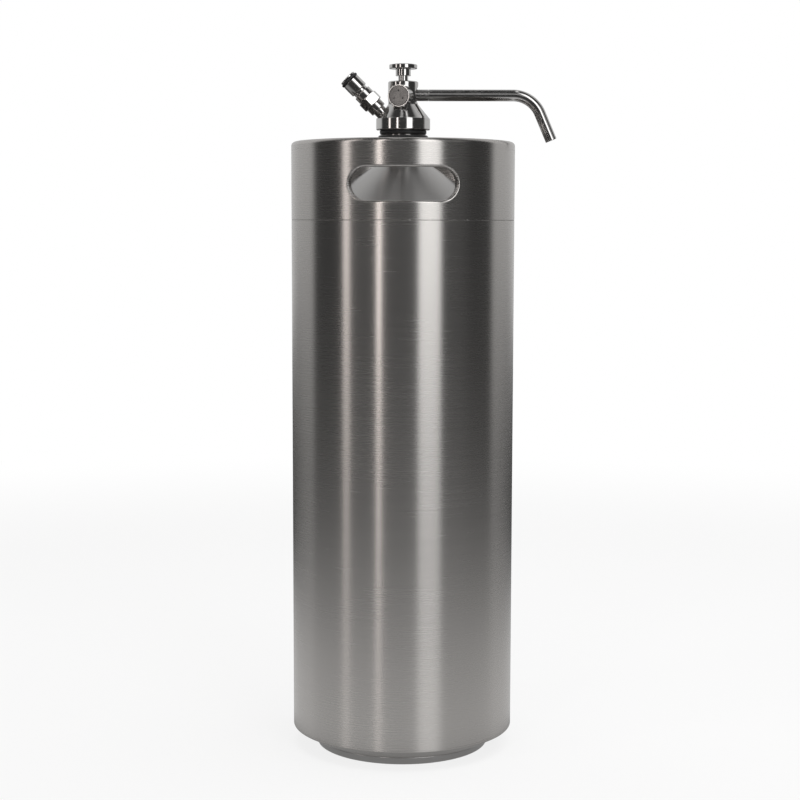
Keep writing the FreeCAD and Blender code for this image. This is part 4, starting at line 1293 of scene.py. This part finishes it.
class KEG_OT_springs(bpy.types.Operator):
    """Wind the three springs"""

    bl_idname = "keg.springs"
    bl_label = "Springs"

    def execute(self, context):
        head = context.scene.head_sizes
        gas = context.scene.gas_sizes
        relief = context.scene.relief_sizes
        self.wind("valve_spring", "valve_seal", IN_PLACE, "press", head.press_stroke)
        self.wind("poppet_spring", "poppet_seal", gas_place(), "gas_poppet_slide", gas.poppet_stroke)
        self.wind("relief_spring", "relief_seal", relief_place(), "relief_lift", relief.lift)
        return {"FINISHED"}

    def wind(self, name, seal, place, joint, stroke):
        """A wire coil in the room of the named spring; the seal is not used."""
        spots = self.spots(name, place)
        low = min(spot.z for spot in spots)
        high = max(spot.z for spot in spots)
        outside = max(spot.xy.length for spot in spots)
        inside = min(spot.xy.length for spot in spots)
        wire = (outside - inside) / 2
        turns = (high - low) / (wire * WIRE_SPACING)
        steps = round(turns * COIL_STEPS)
        columns = []
        for step in range(steps + 1):
            turned = FULL_TURN * turns * step / steps
            rise = low + wire + (high - low - wire * 2) * step / steps
            outwards = Vector((math.cos(turned), math.sin(turned), 0))
            column = []
            for side in range(WIRE_SIDES + 1):
                around = FULL_TURN * side / WIRE_SIDES
                facing = outwards * math.cos(around) + UP * math.sin(around)
                point = outwards * (inside + wire) + UP * rise + facing * wire
                column.append((place @ point, place.to_3x3() @ facing))
            columns.append(column)
        form = Form().grid(columns)
        first = tuple(range(WIRE_SIDES))
        last = steps * (WIRE_SIDES + 1)
        form.faces.append(first)
        form.faces.append(tuple(last + side for side in first[::-1]))
        piece = form.piece(f"{name}_coil", "tap_head", spring_wire(), "spring_steel", name)
        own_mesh(piece)

    def spots(self, name, place):
        """The corners of a piece of the frame, seen from its own axis."""
        node = frame["nodes"][name]
        return [place.inverted() @ (node.matrix_world @ corner.co) for corner in node.data.vertices]


class KEG_OT_spout(bpy.types.Operator):
    """Add the fixed stub and the bent tube with its open end"""

    bl_idname = "keg.spout"
    bl_label = "Spout"

    def execute(self, context):
        spout = context.scene.spout_sizes
        lines = []
        cut = spout.stub_line
        for place in between(spout.seat, spout.stub_end, 8)[1:-1]:
            lines += [
                (spout.stub_radius, place - cut), (spout.stub_radius - cut, place),
                (spout.stub_radius, place + cut),
            ]
        shank = spout.stub_radius * 0.8
        shank_start = spout.seat - 3 * MM
        socket = spout.stub_end - 4 * MM
        lathed(("spout_stub_skin", "tap_head", spout_steel(), "spout_steel", "spout_stub"), [
            (0, shank_start), (shank, shank_start), (shank, spout.seat),
            (spout.stub_radius, spout.seat), *lines, (spout.stub_radius, spout.stub_end),
            (spout.bore, spout.stub_end), (spout.bore, socket), (0, socket),
        ], 0.1 * MM, spout_place)

        arc = spout.bend_radius * spout.bend_turn
        bend_end = spout.bend_start + arc
        end = bend_end + spout.end_length
        steps = 36
        bend = between(spout.bend_start, bend_end, steps)
        outside = [(spout.radius, place, 1, 0) for place in (spout.bend_start, *bend)]
        inside = [(spout.bore, place, -1, 0) for place in (*bend[::-1], spout.bend_start)]
        mouth = rounded_path([
            (spout.radius, bend_end), (spout.radius, end, spout.edge), (spout.bore, end, spout.edge),
            (spout.bore, bend_end),
        ])
        start = rounded_path([
            (spout.bore, spout.bend_start), (spout.bore, spout.start, 0.2 * MM),
            (spout.radius, spout.start, 0.3 * MM), (spout.radius, spout.bend_start),
        ])
        spots = [*start, *outside[1:-1], *mouth, *inside[1:-1]]
        Form().lathe(spots, spout_place, segments=96, closed=True).piece(
            "spout_tube_skin", "spout", spout_steel(), "spout_steel", "spout_tube")
        return {"FINISHED"}


class KEG_OT_inner_parts(bpy.types.Operator):
    """Give the pieces inside the head and the keg their finishes"""

    bl_idname = "keg.inner_parts"
    bl_label = "Inner parts"

    def execute(self, context):
        finishes = {
            "keg_steel": satin_steel, "tap_steel": tap_steel, "spout_steel": spout_steel,
            "spring_steel": spring_wire, "seal_rubber": black_rubber, "gasket_rubber": black_rubber,
        }
        for part in frame["record"]["subparts"]:
            node = frame["nodes"][part["node"]]
            node.data.materials.clear()
            node.data.materials.append(finishes[part["material_slot"]]())
        return {"FINISHED"}


class KEG_OT_stage(bpy.types.Operator):
    """Add the camera, the pale floor, the lamps and the room"""

    bl_idname = "keg.stage"
    bl_label = "Camera, floor and light"

    def execute(self, context):
        stage = context.scene.stage_settings
        scene = context.scene
        scene.view_settings.view_transform = "Standard"
        self.add_camera(scene, stage)
        self.add_floor(stage)
        self.add_lamps(stage)
        self.add_room(scene, stage)
        return {"FINISHED"}

    def add_camera(self, scene, stage):
        lens = bpy.data.cameras.new("camera")
        lens.lens = stage.camera_lens
        lens.sensor_width = SENSOR_WIDTH
        place = Matrix.Translation((stage.camera_side, -stage.camera_distance, stage.camera_height))
        pitch = Matrix.Rotation(QUARTER_TURN - stage.camera_pitch, 4, "X")
        scene.camera = added("camera", lens, place @ pitch @ Matrix.Rotation(stage.camera_roll, 4, "Z"))

    def add_floor(self, stage):
        half = stage.floor_size / 2
        mesh = bpy.data.meshes.new("floor")
        corners = [(-half, -half, 0), (half, -half, 0), (half, half, 0), (-half, half, 0)]
        mesh.from_pydata(corners, [], [(0, 1, 2, 3)])
        floor = added("floor", mesh)
        material = bpy.data.materials.new("floor_white")
        paint = Paint(material)
        seen = paint.add("ShaderNodeLightPath", output="Is Camera Ray")
        mirrored = paint.add("ShaderNodeLightPath", output="Is Glossy Ray")
        away = paint.add("ShaderNodeVectorMath", {"operation": "LENGTH"}, {0: paint.place()}, "Value")
        # For glossy rays the floor is a glow, a painted reflection of the lit floor: brightest near the keg,
        # fading to the dark room further out
        near = away.ramped(stage.mirror_reach, stage.mirror_reach * MIRROR_NEAR)
        far = away.ramped(stage.shadow_reach, stage.shadow_reach * SHADOW_FAR)
        glow = stage.floor_glow + far * (1 - stage.floor_glow)
        # Painted contact shadow: the glow that metal sees is darkened close to the keg's foot
        clear = away.ramped(stage.contact_reach, stage.contact_reach * CONTACT_FAR)
        clear = clear * PAINTED_SHADOW_SHARE + (1 - PAINTED_SHADOW_SHARE)
        level = seen + mirrored * (near * clear * stage.painted_floor_reflection + stage.room_dark)
        white = paint.add("ShaderNodeEmission", None, {"Color": level, "Strength": 1.0})
        matte = paint.add("ShaderNodeBsdfDiffuse", None, {"Color": (*stage.floor_colour, 1)})
        factor = seen * glow + mirrored
        both = paint.add("ShaderNodeMixShader", None, {0: factor, 1: matte, 2: white})
        paint.add("ShaderNodeOutputMaterial", None, {"Surface": both})
        mesh.materials.append(material)

    def add_lamps(self, stage):
        lamp = bpy.data.lights.new("overhead", "AREA")
        lamp.shape = "RECTANGLE"
        lamp.size, lamp.size_y = OVERHEAD_SIZE
        lamp.energy = stage.overhead
        overhead = added("overhead", lamp, Matrix.Translation(OVERHEAD_PLACE))
        overhead.visible_glossy = False
        overhead.visible_camera = False

    def add_room(self, scene, stage):
        """A dark room in front with lamps, and a pale wall behind; the camera sees plain white."""
        world = bpy.data.worlds.new("room")
        scene.world = world
        paint = Paint(world)
        ray = paint.add("ShaderNodeTexCoord", output="Generated")
        across, deep, up = (paint.add("ShaderNodeSeparateXYZ", None, {0: ray}, axis) for axis in "XYZ")
        azimuth = across.worked("ARCTAN2", across, -deep)
        elevation = up.worked("ARCSINE", up)

        def edge(value, low, high):
            return value.ramped(math.radians(low), math.radians(high))

        def window(value, middle, half, soft):
            return edge(abs(value - math.radians(middle)), half + soft, half)

        rear = edge(abs(azimuth), *REAR_SIDES)
        rear = rear * edge(elevation, *REAR_TOP)
        key = window(azimuth, *KEY_WINDOW) * window(elevation, *LAMP_HEIGHT)
        far_strip = window(azimuth, *FAR_STRIP) * window(elevation, *LAMP_HEIGHT)
        near_strip = window(azimuth, *NEAR_STRIP) * window(elevation, *LAMP_HEIGHT)
        front = window(elevation, *FRONT_HEIGHT) * window(azimuth, *FRONT_SPREAD) * stage.front_light
        first, second, third = (window(across, *line) for line in CEILING_LINES)
        ceiling = edge(elevation, *CEILING_EDGE) * (first + second + third)
        plain = stage.room_dark + rear * stage.rear_light + key * stage.key_light + ceiling + front
        warm = (far_strip * FAR_STRIP_SHARE + near_strip) * stage.strip_light
        colour = paint.add("ShaderNodeCombineXYZ", None, {
            0: plain + warm, 1: plain + warm * STRIP_GREEN, 2: plain + warm * STRIP_BLUE,
        })
        lit = paint.add("ShaderNodeBackground", None, {"Color": colour, "Strength": 1.0})
        white = paint.add("ShaderNodeBackground", None, {"Color": (1, 1, 1, 1), "Strength": 1.0})
        seen = paint.add("ShaderNodeLightPath", output="Is Camera Ray")
        both = paint.add("ShaderNodeMixShader", None, {0: seen, 1: lit, 2: white})
        paint.add("ShaderNodeOutputWorld", None, {"Surface": both})


STEPS = (
    KEG_OT_inner_parts, KEG_OT_shell, KEG_OT_shoulder, KEG_OT_collar, KEG_OT_tap_body,
    KEG_OT_press_valve, KEG_OT_gas_post, KEG_OT_relief_valve, KEG_OT_springs, KEG_OT_spout, KEG_OT_stage,
)

GROUPS = {
    "keg_sizes": KegSizes, "collar_sizes": CollarSizes, "head_sizes": HeadSizes, "gas_sizes": GasSizes,
    "relief_sizes": ReliefSizes, "spout_sizes": SpoutSizes, "finish_settings": FinishSettings,
    "stage_settings": StageSettings,
}


class KEG_PT_panel(bpy.types.Panel):
    """The keg's steps and settings"""

    bl_idname = "KEG_PT_panel"
    bl_label = "Mini keg"
    bl_space_type = "VIEW_3D"
    bl_region_type = "UI"
    bl_category = "Keg"

    def draw(self, context):
        for step in STEPS:
            self.layout.operator(step.bl_idname)
        for name in GROUPS:
            box = self.layout.box()
            group = getattr(context.scene, name)
            for setting in group.__annotations__:
                box.prop(group, setting)


def register():
    for group in GROUPS.values():
        bpy.utils.register_class(group)
    for name, group in GROUPS.items():
        setattr(bpy.types.Scene, name, bpy.props.PointerProperty(type=group))
    for step in (*STEPS, KEG_PT_panel):
        bpy.utils.register_class(step)


def unregister():
    for step in (*STEPS, KEG_PT_panel):
        bpy.utils.unregister_class(step)
    for name in GROUPS:
        delattr(bpy.types.Scene, name)
    for group in GROUPS.values():
        bpy.utils.unregister_class(group)


def main():
    register()
    bpy.ops.keg.inner_parts()
    bpy.ops.keg.shell()
    bpy.ops.keg.shoulder()
    bpy.ops.keg.collar()
    bpy.ops.keg.tap_body()
    bpy.ops.keg.press_valve()
    bpy.ops.keg.gas_post()
    bpy.ops.keg.relief_valve()
    bpy.ops.keg.springs()
    bpy.ops.keg.spout()
    bpy.ops.keg.stage()


if __name__ == "__main__":
    main()
